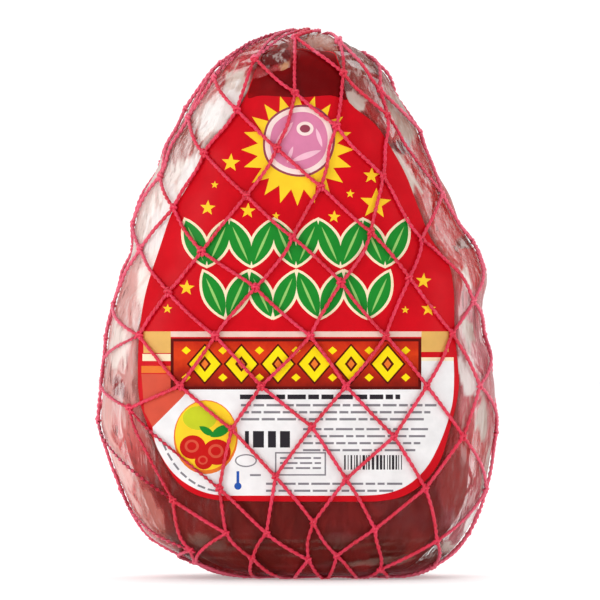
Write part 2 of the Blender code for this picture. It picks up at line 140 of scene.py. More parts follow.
def value_noise(points, seed):
    """Smooth noise from 0 to 1, one unit of distance to a cell."""
    cell = np.floor(points).astype(np.int64)
    share = points - cell
    share = share * share * (3 - 2 * share)

    def corner(x, y, z):
        mixed = (cell[:, 0] + x) * 73856093 ^ (cell[:, 1] + y) * 19349663
        mixed = mixed ^ (cell[:, 2] + z) * 83492791 ^ seed * 2654435761
        mixed = ((mixed ^ (mixed >> 13)) * 1274126177) & 0x7FFFFFFF
        mixed = mixed ^ (mixed >> 15)
        return (mixed & 0xFFFF) / 65535.0

    total = np.zeros(len(points))
    for x in (0, 1):
        for y in (0, 1):
            for z in (0, 1):
                weight = np.ones(len(points))
                for axis, side in enumerate((x, y, z)):
                    weight = weight * (share[:, axis] if side else 1 - share[:, axis])
                total += weight * corner(x, y, z)
    return total


def crumple(points, size, seed, waves):
    """Flat facets that meet in sharp creases, from -1 to 1, as in film that was screwed up."""
    rng = np.random.default_rng(seed)
    warp = np.stack([value_noise(points / (size * 2.4), seed + k) for k in range(3)], axis=1)
    bent = points + (warp - 0.5) * size * 2.2
    total = np.zeros(len(points))
    for _ in range(waves):
        way = unit(rng.normal(size=3))
        turn = bent @ way / (size * rng.uniform(0.8, 1.7)) + rng.random()
        total += np.abs(2 * (turn - np.floor(turn)) - 1)
    return 2 * total / waves - 1


# The form that everything lies on

class BagForm:
    """The smooth outer form of the bag. A point is named by u, its share of the way round from
    the middle of the front, rising to the right, and s, its distance from the pole under the base.
    """

    def __init__(self, rings):
        height, left, right, front, back, lift = np.asarray(rings, float).T
        reach = (left + right) / 2
        at = walked(height, reach)
        self.length = at[-1]
        self.rows = np.linspace(0.0, self.length, FINE_ROWS)
        self.height, self.middle_x, self.middle_y, self.half_x, self.half_y, self.lift = (
            smooth_curve(at, values, self.rows) for values in (
                height, (right - left) / 2, (back - front) / 2, reach, (back + front) / 2, lift))
        heights, *powers = np.array(SECTION_POWERS).T
        self.power_x, self.power_y = (smooth_curve(heights, p, self.height) for p in powers)
        self.build_grid()
        self.build_front()

    def build_grid(self):
        """Tables of points, normals and girths by s and u."""
        turn = np.linspace(0.0, 1.0, RING_STEPS + 1) * math.tau - math.pi / 2
        cos, sin = np.cos(turn), np.sin(turn)
        shares = np.linspace(0.0, 1.0, FINE_COLUMNS + 1)
        self.grid = np.empty((FINE_ROWS, FINE_COLUMNS + 1, 3))
        self.girth = np.empty(FINE_ROWS)
        for i in range(FINE_ROWS):
            unit_x = np.sign(cos) * np.abs(cos) ** (2 / self.power_x[i])
            unit_y = np.sign(sin) * np.abs(sin) ** (2 / self.power_y[i])
            x = self.middle_x[i] + self.half_x[i] * unit_x
            y = self.middle_y[i] + self.half_y[i] * unit_y
            z = self.height[i] - self.lift[i] * unit_y
            way_round = walked(x, y)
            self.girth[i] = way_round[-1]
            for axis, values in enumerate((x, y, z)):
                self.grid[i, :, axis] = np.interp(shares * way_round[-1], way_round, values)
        along = np.gradient(self.grid, axis=0)
        ring = self.grid[:, :-1]
        round_it = np.roll(ring, -1, axis=1) - np.roll(ring, 1, axis=1)
        round_it = np.concatenate([round_it, round_it[:, :1]], axis=1)
        self.normals = unit(np.cross(round_it, along))
        for pole, neighbour in ((0, 1), (-1, -2)):
            self.normals[pole] = unit(self.normals[neighbour, :-1].mean(axis=0))
        self.grid += SHIFT

    def surface(self, u, s):
        """Points and unit normals at arrays of u and s."""
        u, s = np.broadcast_arrays(np.atleast_1d(u).astype(float), np.atleast_1d(s).astype(float))
        row = np.clip(s / self.length, 0.0, 1.0) * (FINE_ROWS - 1)
        column = (u % 1.0) * FINE_COLUMNS
        return bilinear(self.grid, row, column), unit(bilinear(self.normals, row, column))

    def build_front(self):
        """A table of y of the front, by x and height."""
        self.front_x = np.arange(-FRONT_REACH, FRONT_REACH + FRONT_STEP, FRONT_STEP)
        self.front_z = np.arange(FRONT_LOW, FRONT_HIGH, FRONT_STEP)
        self.front_y = np.empty((len(self.front_x), len(self.front_z)))
        for k, place in enumerate(self.front_x):
            share = np.abs(place - self.middle_x) / self.half_x
            kept = share < 0.999
            forward = (1 - share[kept] ** self.power_x[kept]) ** (1 / self.power_y[kept])
            y = self.middle_y[kept] - self.half_y[kept] * forward
            z = self.height[kept] + self.lift[kept] * forward
            crest = int(np.argmax(z)) + 1
            self.front_y[k] = np.interp(self.front_z, z[:crest], y[:crest])

    def front_depth(self, x, height):
        """y of the front at arrays of x and height."""
        row = np.clip((x - SHIFT[0] + FRONT_REACH) / FRONT_STEP, 0, len(self.front_x) - 1.001)
        column = np.clip((height - FRONT_LOW) / FRONT_STEP, 0, len(self.front_z) - 1.001)
        return bilinear(self.front_y, row, column) + SHIFT[1]

    def front_surface(self, x, height):
        """Points and outward normals of the front at arrays of x and height."""
        def slope(right, up):
            ahead = self.front_depth(x + right, height + up)
            return (ahead - self.front_depth(x - right, height - up)) / (2 * SLOPE_STEP)

        normals = np.stack([slope(SLOPE_STEP, 0), -np.ones(len(x)), slope(0, SLOPE_STEP)], axis=1)
        return np.stack([x, self.front_depth(x, height), height], axis=1), unit(normals)


FORM = BagForm(BAG_RINGS)


# Materials

def linear(red, green, blue):
    """A colour given as 0 to 255 screen values, as Blender wants it."""
    found = []
    for value in (red, green, blue):
        value /= 255.0
        found.append(value / 12.92 if value <= 0.04045 else ((value + 0.055) / 1.055) ** 2.4)
    return (*found, 1.0)


def toward(tone, colour, share):
    """Rows of colour moved towards one screen colour, each by its share."""
    return tone + (np.array(linear(*colour)) - tone) * share[:, None]


class Shader:
    """A material under construction: short calls that add and join nodes."""

    def __init__(self, name):
        self.material = bpy.data.materials.new(name)
        self.material.use_nodes = True
        self.tree = self.material.node_tree
        self.main = self.tree.nodes["Principled BSDF"]
        self.output = self.tree.nodes["Material Output"]

    def node(self, kind, inputs=(), **settings):
        """A new node with these inputs and settings."""
        made = self.tree.nodes.new(kind)
        for key, value in settings.items():
            setattr(made, key, value)
        for key, value in dict(inputs).items():
            self.put(made.inputs[key], value)
        return made

    def put(self, socket, value):
        """Sets a socket to a number or colour, or links it to another socket."""
        if isinstance(value, bpy.types.NodeSocket):
            self.tree.links.new(value, socket)
        else:
            socket.default_value = value

    def set(self, **inputs):
        """Sets inputs of the main node, with underscores for the spaces in their names."""
        for key, value in inputs.items():
            self.put(self.main.inputs[key.replace("_", " ")], value)

    def attribute(self, name, output="Fac"):
        """A value, or with output "Color" a colour, that the mesh has at each point."""
        return self.node("ShaderNodeAttribute", attribute_name=name).outputs[output]

    def place(self, stretch=(1.0, 1.0, 1.0)):
        """Object coordinates in millimetres, stretched."""
        coordinates = self.node("ShaderNodeTexCoord").outputs["Object"]
        scale = [k / MM for k in stretch]
        return self.node("ShaderNodeMapping", {"Vector": coordinates, "Scale": scale}).outputs[0]

    def noise(self, size, detail=3.0, roughness=0.55, stretch=(1.0, 1.0, 1.0), distortion=0.0):
        """Noise with features of about this many millimetres."""
        return self.node("ShaderNodeTexNoise", {
            "Vector": self.place(stretch), "Scale": 1.0 / size, "Detail": detail,
            "Roughness": roughness, "Distortion": distortion}).outputs["Fac"]

    def ramp(self, value, stops):
        """Colours at places from 0 to 1."""
        made = self.node("ShaderNodeValToRGB", {"Fac": value})
        points = made.color_ramp.elements
        while len(points) < len(stops):
            points.new(0.5)
        for point, (place, colour) in zip(points, stops):
            point.position = place
            point.color = colour
        return made.outputs["Color"]

    def range(self, value, low, high, to_low, to_high):
        """The value with low to high stretched to to_low to to_high."""
        return self.node("ShaderNodeMapRange", {
            "Value": value, "From Min": low, "From Max": high, "To Min": to_low,
            "To Max": to_high}).outputs["Result"]

    def mix(self, share, first, second, blend="MIX"):
        """Two colours mixed. Sockets 6, 7 and 2 are the mix node's colours."""
        return self.node("ShaderNodeMix", {0: share, 6: first, 7: second}, data_type="RGBA",
                         blend_type=blend).outputs[2]

    def maths(self, operation, *values):
        """An operation on numbers or sockets."""
        return self.node("ShaderNodeMath", dict(enumerate(values)), operation=operation).outputs[0]

    def bump(self, height, distance, **normal):
        """A bump whose full height is distance millimetres, over another Normal if one is given."""
        inputs = {"Height": height, "Distance": distance * MM, "Strength": 1.0, **normal}
        return self.node("ShaderNodeBump", inputs).outputs["Normal"]


# The print: how far its colour strays to darker and lighter, its roughness and its shine, the
# pixel rows between which the panel's colour changes, and the middle of the painted shade on the
# label's top.
INK_DARKER, INK_LIGHTER, INK_ROUGHNESS, INK_SHINE = 0.89, 1.05, 0.36, 0.07
PANEL_ROWS = (389, 339)
TONGUE_SHADE_MIDDLE = (4.0, 0.0, 197.0)


def print_material(name, colour):
    """Ink on smooth film: a flat colour with a faint unevenness and a soft gloss."""
    shader = Shader(name)
    base = linear(*colour)
    darker = tuple(c * INK_DARKER for c in base[:3]) + (1.0,)
    lighter = tuple(min(1.0, c * INK_LIGHTER) for c in base[:3]) + (1.0,)
    cloud = shader.ramp(shader.noise(7.0, 4.0), [(0.25, darker), (0.75, lighter)])
    shader.set(Base_Color=cloud, Roughness=INK_ROUGHNESS, Specular_IOR_Level=INK_SHINE)
    shader.set(Normal=shader.bump(shader.noise(2.2, 3.0), 0.04))
    return shader.material


def panel_material():
    """The framed panel: orange-red above, deepening to brown-red, with darker clouds."""
    shader = Shader("print_panel")
    height = shader.node("ShaderNodeSeparateXYZ", {"Vector": shader.place()}).outputs["Z"]
    low, high = ((PHOTO_FLOOR_Y - row) * PIXEL for row in PANEL_ROWS)
    share = shader.range(height, low, high, 0, 1)
    cloud = shader.maths("MULTIPLY_ADD", shader.noise(5.0, 4.0, 0.65), 0.5, -0.25)
    share = shader.maths("ADD", share, cloud)
    colour = shader.ramp(share, [
        (0.0, linear(120, 22, 14)),
        (0.35, linear(172, 36, 16)),
        (0.7, linear(216, 62, 22)),
        (1.0, linear(186, 38, 20)),
    ])
    shader.set(Base_Color=colour, Roughness=INK_ROUGHNESS, Specular_IOR_Level=INK_SHINE)
    return shader.material


def tongue_shade_material():
    """The label's top where it bends back: painted shade, dark red in its middle, brighter round
    it.
    """
    shader = Shader("print_painted_shade_red")
    away = shader.node("ShaderNodeVectorMath", operation="DISTANCE")
    shader.put(away.inputs[0], shader.place((0.5, 0.0, 1.0)))
    shader.put(away.inputs[1], TONGUE_SHADE_MIDDLE)
    share = shader.maths("ADD", away.outputs["Value"],
                         shader.range(shader.noise(4.0, 3.0), 0.3, 0.7, -3.0, 3.0))
    # Painted shade: darkest at its middle, brighter further out.
    colour = shader.ramp(shader.range(share, 4.0, 26.0, 0.0, 1.0), [
        (0.0, linear(104, 2, 5)),
        (0.45, linear(128, 6, 9)),
        (0.75, linear(176, 12, 18)),
        (1.0, linear(206, 24, 30)),
    ])
    shader.set(Base_Color=colour, Roughness=0.3, Specular_IOR_Level=INK_SHINE)
    return shader.material


def ham_material():
    """Smoked ham under tight film. Vertex colours give its broad zones: rind, lean and fat."""
    shader = Shader("ham_surface")
    zone = shader.attribute("zone", "Color")
    fibres = shader.noise(4.2, 6.0, 0.7, stretch=(1.0, 1.0, 0.45), distortion=0.8)
    dark = shader.mix(0.45, zone, linear(130, 60, 50), "MULTIPLY")
    light = shader.mix(0.25, zone, linear(214, 130, 108))
    colour = shader.mix(shader.range(fibres, 0.36, 0.62, 0.0, 1.0), dark, zone)
    flecks = shader.noise(1.6, 5.0, 0.6, stretch=(1.0, 1.0, 0.3))
    colour = shader.mix(shader.range(flecks, 0.6, 0.82, 0.0, 0.6), colour, light)
    shader.set(Base_Color=colour, Roughness=shader.range(fibres, 0.3, 0.7, 0.3, 0.48))
    shader.set(Specular_IOR_Level=0.1)
    shader.set(Subsurface_Weight=0.08, Subsurface_Scale=0.003, Subsurface_Radius=(1.0, 0.35, 0.2))
    shader.set(Normal=shader.bump(flecks, 0.12, Normal=shader.bump(fibres, 0.5)))
    return shader.material


def film_material():
    """Clear film. It is see-through where it lies tight. The attribute band says how crumpled it
    is, and so how far its streaks show: dark ones of painted crease shade, middling ones, and pale
    ones of painted highlight. Veil gives its smooth cloudy patches, mostly painted glare, and tone
    the local colour of both."""
    shader = Shader("clear_film")
    band, veil = shader.attribute("band"), shader.attribute("veil")
    tone = shader.attribute("tone", "Color")
    wide = shader.noise(4.6, 2.0, 0.5, stretch=(1.0, 1.0, 0.22), distortion=0.5)
    narrow = shader.noise(1.5, 3.0, 0.6, stretch=(1.0, 1.0, 0.14), distortion=0.35)
    streaks = shader.maths("ADD", shader.maths("MULTIPLY", wide, 0.5),
                           shader.maths("MULTIPLY", narrow, 0.5))
    # Painted crease shade: the tone darkened in the low streaks.
    dark = shader.mix(0.8, tone, linear(132, 84, 74), "MULTIPLY")
    colour = shader.mix(shader.range(streaks, 0.37, 0.45, 0.0, 1.0), dark, tone)
    # Painted highlights: the tone lightened in the high streaks.
    pale = shader.mix(0.5, tone, linear(255, 240, 234))
    colour = shader.mix(shader.range(streaks, 0.51, 0.59, 0.0, 0.9), colour, pale)
    stops = ((0.36, 0.68), (0.44, 0.50), (0.50, 0.42), (0.57, 0.72), (0.66, 0.84))
    depth = shader.ramp(streaks, [(place, (level, level, level, 1.0)) for place, level in stops])
    streaked = shader.maths("MULTIPLY", depth, band)
    normal = shader.bump(narrow, 0.3)
    fresnel = shader.node("ShaderNodeFresnel", {"IOR": 1.22, "Normal": normal}).outputs["Fac"]
    covered = shader.maths("MAXIMUM", shader.maths("MAXIMUM", veil, streaked), fresnel)
    share = shader.maths("DIVIDE", streaked, shader.maths("MAXIMUM", covered, 0.01))
    colour = shader.mix(share, tone, colour)
    shader.set(Base_Color=colour, Roughness=0.18, Normal=normal, Specular_IOR_Level=0.5)
    clear = shader.node("ShaderNodeBsdfTransparent", {"Color": (0.965, 0.955, 0.95, 1.0)})
    film = shader.node("ShaderNodeMixShader", {
        0: covered, 1: clear.outputs[0], 2: shader.main.outputs[0]})
    shader.put(shader.output.inputs["Surface"], film.outputs[0])
    return shader.material


def twine_material():
    """Glossy plastic twine: pinkish red with fine lengthwise fibres."""
    shader = Shader("net_twine")
    fibres = shader.noise(0.35, 3.0, 0.6, stretch=(1.0, 1.0, 0.25))
    cloud = shader.noise(9.0, 2.0)
    base = shader.mix(shader.range(cloud, 0.35, 0.65, 0.0, 1.0), linear(208, 14, 44),
                      linear(226, 36, 74))
    # Painted rim light: the twine is lighter towards the outline.
    base = shader.mix(shader.attribute("pale"), base, linear(244, 122, 150))
    colour = shader.mix(shader.range(fibres, 0.45, 0.75, 0.0, 0.6), base, linear(248, 100, 128))
    shader.set(Base_Color=colour, Roughness=0.36, Specular_IOR_Level=0.4)
    shader.set(Normal=shader.bump(fibres, 0.05))
    return shader.material


def metal_material():
    """Plain crimped metal with fine scratches round it."""
    shader = Shader("clip_metal")
    lines = shader.noise(0.25, 3.0, 0.6, stretch=(1.0, 0.06, 1.0))
    colour = shader.ramp(lines, [(0.3, linear(168, 170, 174)), (0.7, linear(208, 210, 214))])
    shader.set(Base_Color=colour, Metallic=1.0, Roughness=shader.range(lines, 0.3, 0.7, 0.24, 0.4))
    shader.set(Normal=shader.bump(lines, 0.03))
    return shader.material


def floor_material():
    """A pale floor that shines a little, so that it stays nearly white."""
    shader = Shader("pale_floor")
    cloud = shader.noise(90.0, 2.0)
    colour = shader.ramp(cloud, [(0.3, (0.90, 0.90, 0.90, 1.0)), (0.7, (0.93, 0.93, 0.93, 1.0))])
    shader.set(Base_Color=colour, Roughness=0.9, Specular_IOR_Level=0.1)
    shader.set(Emission_Color=(1.0, 1.0, 1.0, 1.0), Emission_Strength=0.28)
    return shader.material


# Meshes

def in_scene(name, data):
    """A new object in the scene."""
    made = bpy.data.objects.new(name, data)
    bpy.context.scene.collection.objects.link(made)
    return made


def add_piece(name, mesh, materials, node):
    """Puts a finished mesh in the scene as a piece of the ham."""
    for material in materials:
        mesh.materials.append(material)
    piece = in_scene(name, mesh)
    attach(piece, "root")
    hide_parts(node)


def mesh_of(name, points, faces, smooth=True):
    """A mesh from points in millimetres."""
    mesh = bpy.data.meshes.new(name)
    mesh.from_pydata((np.asarray(points) * MM).tolist(), [], faces)
    mesh.update()
    if smooth:
        mesh.shade_smooth()
    return mesh


def ring_faces(base, rings, sides, closed=False):
    """Quads between rings of points that start at index base, joined end to end if closed."""
    faces = []
    for i in range(rings if closed else rings - 1):
        a, b = base + i * sides, base + (i + 1) % rings * sides
        for j in range(sides):
            k = (j + 1) % sides
            faces.append((a + j, a + k, b + k, b + j))
    return faces


def closed_grid(name, points, poles, rows, columns):
    """A closed mesh from rings of points, bottom to top, and its two poles."""
    faces = ring_faces(0, rows, columns)
    low, high, last = rows * columns, rows * columns + 1, (rows - 1) * columns
    for j in range(columns):
        k = (j + 1) % columns
        faces.append((k, j, low))
        faces.append((last + j, last + k, high))
    return mesh_of(name, np.concatenate([points, poles]), faces)


def photo_place(points):
    """Where points (N, 3) appear in the photograph, as pixel columns and rows. What is nearer to
    the camera appears a little larger."""
    near = VIEW_DISTANCE / (VIEW_DISTANCE + points[:, 1])
    x = PHOTO_AXIS_X + (points[:, 0] - SHIFT[0]) / PIXEL
    y = PHOTO_FLOOR_Y - points[:, 2] / PIXEL
    return PHOTO_MIDDLE + (x - PHOTO_MIDDLE) * near, PHOTO_MIDDLE + (y - PHOTO_MIDDLE) * near


def front_place(x, y):
    """The object's x and height that appear at pixel (x, y) on its front."""
    near = np.ones(len(x))
    for _ in range(3):
        across = (PHOTO_MIDDLE + (x - PHOTO_MIDDLE) / near - PHOTO_AXIS_X) * PIXEL + SHIFT[0]
        height = (PHOTO_FLOOR_Y - PHOTO_MIDDLE - (y - PHOTO_MIDDLE) / near) * PIXEL
        near = VIEW_DISTANCE / (VIEW_DISTANCE + FORM.front_depth(across, height))
    return across, height


def write_colours(mesh, name, colours):
    """Stores one colour per vertex for the material to read."""
    layer = mesh.color_attributes.new(name, "FLOAT_COLOR", "POINT")
    layer.data.foreach_set("color", np.asarray(colours, np.float32).ravel())


def write_values(mesh, name, values):
    """Stores one number per vertex for the material to read."""
    layer = mesh.attributes.new(name, "FLOAT", "POINT")
    layer.data.foreach_set("value", np.asarray(values, np.float32))


# The label's outline, in pixels of the photograph: down its left side and along the bottom, up its
# right side, and over the top.
LABEL_LEFT = (
    (245.6, 97), (232.5, 119), (206.5, 147.5), (189.5, 184), (173, 212), (160.5, 248.5),
    (147, 290.6), (140, 332), (138.5, 374), (140.5, 402), (150, 430), (163, 459),
    (177, 481), (193, 493), (212, 499), (240, 501),
)
LABEL_RIGHT = (
    (355, 501.5), (383, 500.5), (404, 495.5), (424, 482), (440, 460), (449, 430), (457, 397),
    (458, 374), (454, 332), (453, 291), (447.6, 263), (431, 240), (417, 206), (405.5, 176),
    (391.5, 150), (375, 125), (349, 103),
)
LABEL_TOP = ((343, 80), (338, 62), (331, 52), (300, 49), (268, 51), (258, 64), (252, 80))
CURVE_STEPS = 4


def smooth_loop(points, steps=CURVE_STEPS):
    """A closed curve through the points."""
    points = np.asarray(points, float)
    count = len(points)
    found = []
    for i in range(count):
        a, b, c, d = (points[(i + k) % count] for k in (-1, 0, 1, 2))
        for k in range(steps):
            t = k / steps
            found.append(0.5 * (2 * b + (c - a) * t + (2 * a - 5 * b + 4 * c - d) * t**2
                                + (3 * b - a - 3 * c + d) * t**3))
    return np.array(found)


def smooth_stretch(points):
    """An open curve through the points."""
    return smooth_loop((points[0], *points, points[-1]))[CURVE_STEPS:CURVE_STEPS * len(points) + 1]


LABEL_LOOP = smooth_loop(LABEL_LEFT + LABEL_RIGHT + LABEL_TOP)


def label_edges(y):
    """Pixel columns of the label's left and right edges at arrays of pixel rows."""
    left, right = np.array(LABEL_LEFT), np.array(LABEL_RIGHT[::-1])
    return np.interp(y, left[:, 1], left[:, 0]), np.interp(y, right[:, 1], right[:, 0])


def inside(loop, x, y):
    """Which of the places x, y lie inside a closed loop."""
    found = np.zeros(len(x), bool)
    for (x0, y0), (x1, y1) in zip(loop, np.roll(loop, -1, axis=0)):
        if y0 == y1:
            continue
        between = (y0 > y) != (y1 > y)
        found ^= between & (x < (x1 - x0) * (y - y0) / (y1 - y0) + x0)
    return found


def middle_and_half(height):
    """Where the bag's middle lies and how far it reaches to each side, at arrays of height."""
    return (np.interp(height, FORM.height[1:], table[1:]) for table in (FORM.middle_x, FORM.half_x))


def side_closeness(points):
    """0 at the middle of the front and back, 1 at the widest place of the sides."""
    middle, half = middle_and_half(points[:, 2])
    across = np.abs(points[:, 0] - (middle + SHIFT[0]))
    return np.clip(across / np.maximum(half, 4.0), 0.0, 1.2)


def edge_share(points):
    """For points outside the label at either side: 0 at its edge, 1 at the bag's outline."""
    x, y = photo_place(points)
    middle, half = (values / PIXEL for values in middle_and_half(points[:, 2]))
    middle = middle + PHOTO_AXIS_X
    left_edge, right_edge = label_edges(y)
    left = (left_edge - x) / np.maximum(left_edge - (middle - half), 4.0)
    right = (x - right_edge) / np.maximum((middle + half) - right_edge, 4.0)
    return left, right


def looseness(points, normals):
    """How loosely the film lies: 0 where it is drawn tight over the ham, 1 in the crumpled bands
    down both sides and over the top."""
    side = side_closeness(points)
    height = points[:, 2]
    facing = -normals[:, 1]
    left, right = edge_share(points)
    bands = np.where(facing > 0, ease(-0.02, 0.22, np.maximum(left, right)), ease(0.62, 0.9, side))
    top = ease(186.0, 203.0, height)
    back = 0.45 * ease(0.2, -0.4, facing)
    loose = np.maximum(np.maximum(bands, 0.85 * top), back)
    low = ease(58.0, 34.0, height) * ease(0.96, 0.76, side)
    return loose * (1 - 0.9 * low) * (0.25 + 0.75 * ease(2.0, 16.0, height))


# The grids of ham and film: columns, rows, how far the columns crowd to the sides, and the lowest
# height of each. Then how far the film's folds may stand out, its pleats and the ham's colours.
HAM_COLUMNS, HAM_ROWS, HAM_CROWD, HAM_FLOOR = 160, 150, 0.3, 1.2
FILM_COLUMNS, FILM_ROWS, FILM_CROWD, FILM_FLOOR = 330, 285, 0.45, 0.9
FILM_PROUD = 0.6
TOP_PLEATS, BASE_PLEATS = 26, 22
SMOKED, LEAN, PINK, FAT = (130, 34, 28), (150, 40, 36), (190, 84, 76), (226, 150, 134)

# The clear film beside the ham: height, then its width at the left and at the right.
HAM_MARGINS = (
    (0, 3, 6), (8, 4.5, 8), (16, 5, 6.5), (28, 5.5, 5), (48, 6, 7), (66, 7, 7), (90, 9, 7.5),
    (115, 11.5, 8.5), (150, 13.5, 10.5), (185, 13, 10), (205, 8, 7), (218, 5, 5),
)
HAM_POWER_X, HAM_POWER_Y = 2.6, 2.2
HAM_INSET = 0.8


def ham_points(u, s):
    """The ham's smooth form: it fills the film from front to back, but at the sides the film
    stands clear of it."""
    points, normals = FORM.surface(u, s)
    middle_x, half_x, middle_y, half_y, power_x, power_y = (
        np.interp(s, FORM.rows, table) for table in (
            FORM.middle_x, FORM.half_x, FORM.middle_y, FORM.half_y, FORM.power_x, FORM.power_y))
    share = np.clip((points[:, 0] - SHIFT[0] - middle_x) / half_x, -1.0, 1.0)
    heights, left, right = np.array(HAM_MARGINS).T
    margin = np.where(share < 0, np.interp(points[:, 2], heights, left),
                      np.interp(points[:, 2], heights, right))
    kept = 1 - np.minimum(margin / half_x, 0.45)
    film = (1 - (np.abs(share) * kept) ** power_x) ** (1 / power_y)
    full = (1 - np.abs(share) ** HAM_POWER_X) ** (1 / HAM_POWER_Y)
    depth = np.minimum(film, full) * half_y
    found = points.copy()
    found[:, 0] = middle_x + share * kept * half_x + SHIFT[0]
    side = np.sign(points[:, 1] - SHIFT[1] - middle_y)
    found[:, 1] = middle_y + side * depth + SHIFT[1]
    inset = HAM_INSET + 1.5 * ease(190.0, 204.0, points[:, 2])
    return found - normals * inset[:, None], points, normals


def ham_zones(points, normals):
    """The ham's broad colours: smoked brown-red low on the front, paler fat down both sides."""
    side = side_closeness(points)
    height = points[:, 2]
    cloud = value_noise(points / 14.0, 5)
    patch = value_noise(points / 7.0 + 40.0, 6)
    pale = ease(0.66, 0.92, side) * ease(30.0, 80.0, height)
    pale = np.clip(pale * (0.75 + 0.6 * (patch - 0.4)), 0, 1)
    colour = toward(np.array(linear(*SMOKED)), LEAN, ease(0.35, 0.75, cloud))
    colour = toward(colour, PINK, ease(0.1, 0.6, pale))
    return toward(colour, FAT, ease(0.5, 1.0, pale) * ease(0.35, 0.65, cloud))


def grid_of(columns, rows, crowd):
    """u and s of a closed grid, its columns crowded towards the sides by crowd."""
    t = np.arange(columns) / columns
    u = t + crowd * np.sin(4 * math.pi * t) / (4 * math.pi)
    s = FORM.length * (np.arange(rows) + 1) / (rows + 1)
    return np.tile(u, rows), np.repeat(s, columns)


def build_ham(material):
    """The ham inside the film, slightly uneven."""
    u, s = grid_of(HAM_COLUMNS, HAM_ROWS, HAM_CROWD)
    moved, points, normals = ham_points(u, s)
    relief = (0.9 * (value_noise(points / 16.0, 11) - 0.5)
              + 0.35 * (value_noise(points / 5.0, 12) - 0.5))
    moved = moved + normals * (relief * ease(3.0, 20.0, points[:, 2]))[:, None]
    moved[:, 2] = np.maximum(moved[:, 2], HAM_FLOOR)
    poles, pole_normals = FORM.surface(np.zeros(2), np.array([0.0, FORM.length]))
    poles = poles - pole_normals * 1.5
    poles[0, 2] = HAM_FLOOR
    mesh = closed_grid("ham", moved, poles, HAM_ROWS, HAM_COLUMNS)
    colours = np.ones((len(mesh.vertices), 4))
    colours[:-2] = ham_zones(points, normals)
    colours[-2:] = linear(*SMOKED)
    write_colours(mesh, "zone", colours)
    add_piece("ham", mesh, [material], "sealed_ham")


# Where the gathered film runs over the top of the label: pixel columns of the photograph, and the
# row above which it does.
FOLD_COLUMNS = (225, 252, 290, 300, 334, 350)
FOLD_ROWS = (96, 80, 68, 50, 52, 76)


def over_label(x, y):
    """1 where the film lies over the label, 0 where the label lies over the film."""
    return ease(2.0, -2.0, y - np.interp(x, FOLD_COLUMNS, FOLD_ROWS))


def film_relief(points, normals, u, s):
    """Height of the film over the smooth form, and how crumpled it is."""
    loose = looseness(points, normals)
    stretched = points * np.array([1.0, 1.0, 0.4])
    broad = crumple(stretched, 11.0, 21, 6)
    small = crumple(stretched, 4.6, 22, 7)
    fine = crumple(points * np.array([1.0, 1.0, 0.7]), 2.3, 23, 6)
    tight = ease(0.80, 0.97, side_closeness(points))
    relief = loose * (1.3 * broad + 0.7 * small + 0.25 * fine - 0.4)
    relief = relief + tight * (0.2 * relief + 0.45 - relief)
    relief = relief * (0.3 + 0.7 * ease(10.0, 28.0, points[:, 2]))
    to_top = FORM.length - s
    pleats = np.abs(2 * ((u * TOP_PLEATS + 0.012 * to_top) % 1.0) - 1) - 0.6
    relief += 0.9 * pleats * ease(42.0, 14.0, to_top) * ease(0.0, 6.0, to_top)
    under = np.abs(2 * ((u * BASE_PLEATS) % 1.0) - 1)
    relief -= 0.5 * under * ease(40.0, 20.0, s) * ease(0.0, 6.0, s)
    relief += 0.10 * (value_noise(points / 9.0, 24) - 0.5)
    x, y = photo_place(points)
    covered = inside(LABEL_LOOP, x, y) & (normals[:, 1] < 0.1)
    over = over_label(x, y)
    folded = 0.5 + 0.12 * small
    relief = np.where(covered, folded * over + np.minimum(relief, 0.0) * (1 - over), relief)
    return np.minimum(relief, FILM_PROUD), loose


CREAM, SHELL, SALMON = (253, 236, 226), (250, 186, 178), (232, 84, 82)
ROSE, MAUVE, BRICK, WINE = (216, 64, 70), (228, 122, 132), (208, 60, 58), (158, 58, 54)
PEARL, LINEN, TAN, OLIVE = (246, 240, 236), (214, 194, 182), (168, 134, 118), (172, 106, 84)
COPPER = (210, 116, 104)

# The film beside the label, by pixel row of the photograph: for the left and then the right, its
# colour, how far its streaks of painted highlight and crease shade show, and how cloudy it is. The
# pale cloud is painted glare.
FILM_TONES = (
    (30, ROSE, 0.60, 0.65, WINE, 0.80, 0.65),
    (80, ROSE, 0.65, 0.60, WINE, 0.85, 0.62),
    (110, CREAM, 0.50, 0.60, BRICK, 0.80, 0.55),
    (250, CREAM, 0.60, 0.62, BRICK, 0.75, 0.70),
    (275, SHELL, 0.80, 0.60, BRICK, 0.80, 0.66),
    (310, SHELL, 0.95, 0.55, MAUVE, 0.95, 0.50),
    (390, SHELL, 1.00, 0.50, MAUVE, 0.95, 0.50),
    (450, SALMON, 0.95, 0.55, BRICK, 0.80, 0.55),
    (520, SALMON, 0.95, 0.62, MAUVE, 0.75, 0.45),
    (577, ROSE, 0.60, 0.30, MAUVE, 0.50, 0.30),
)
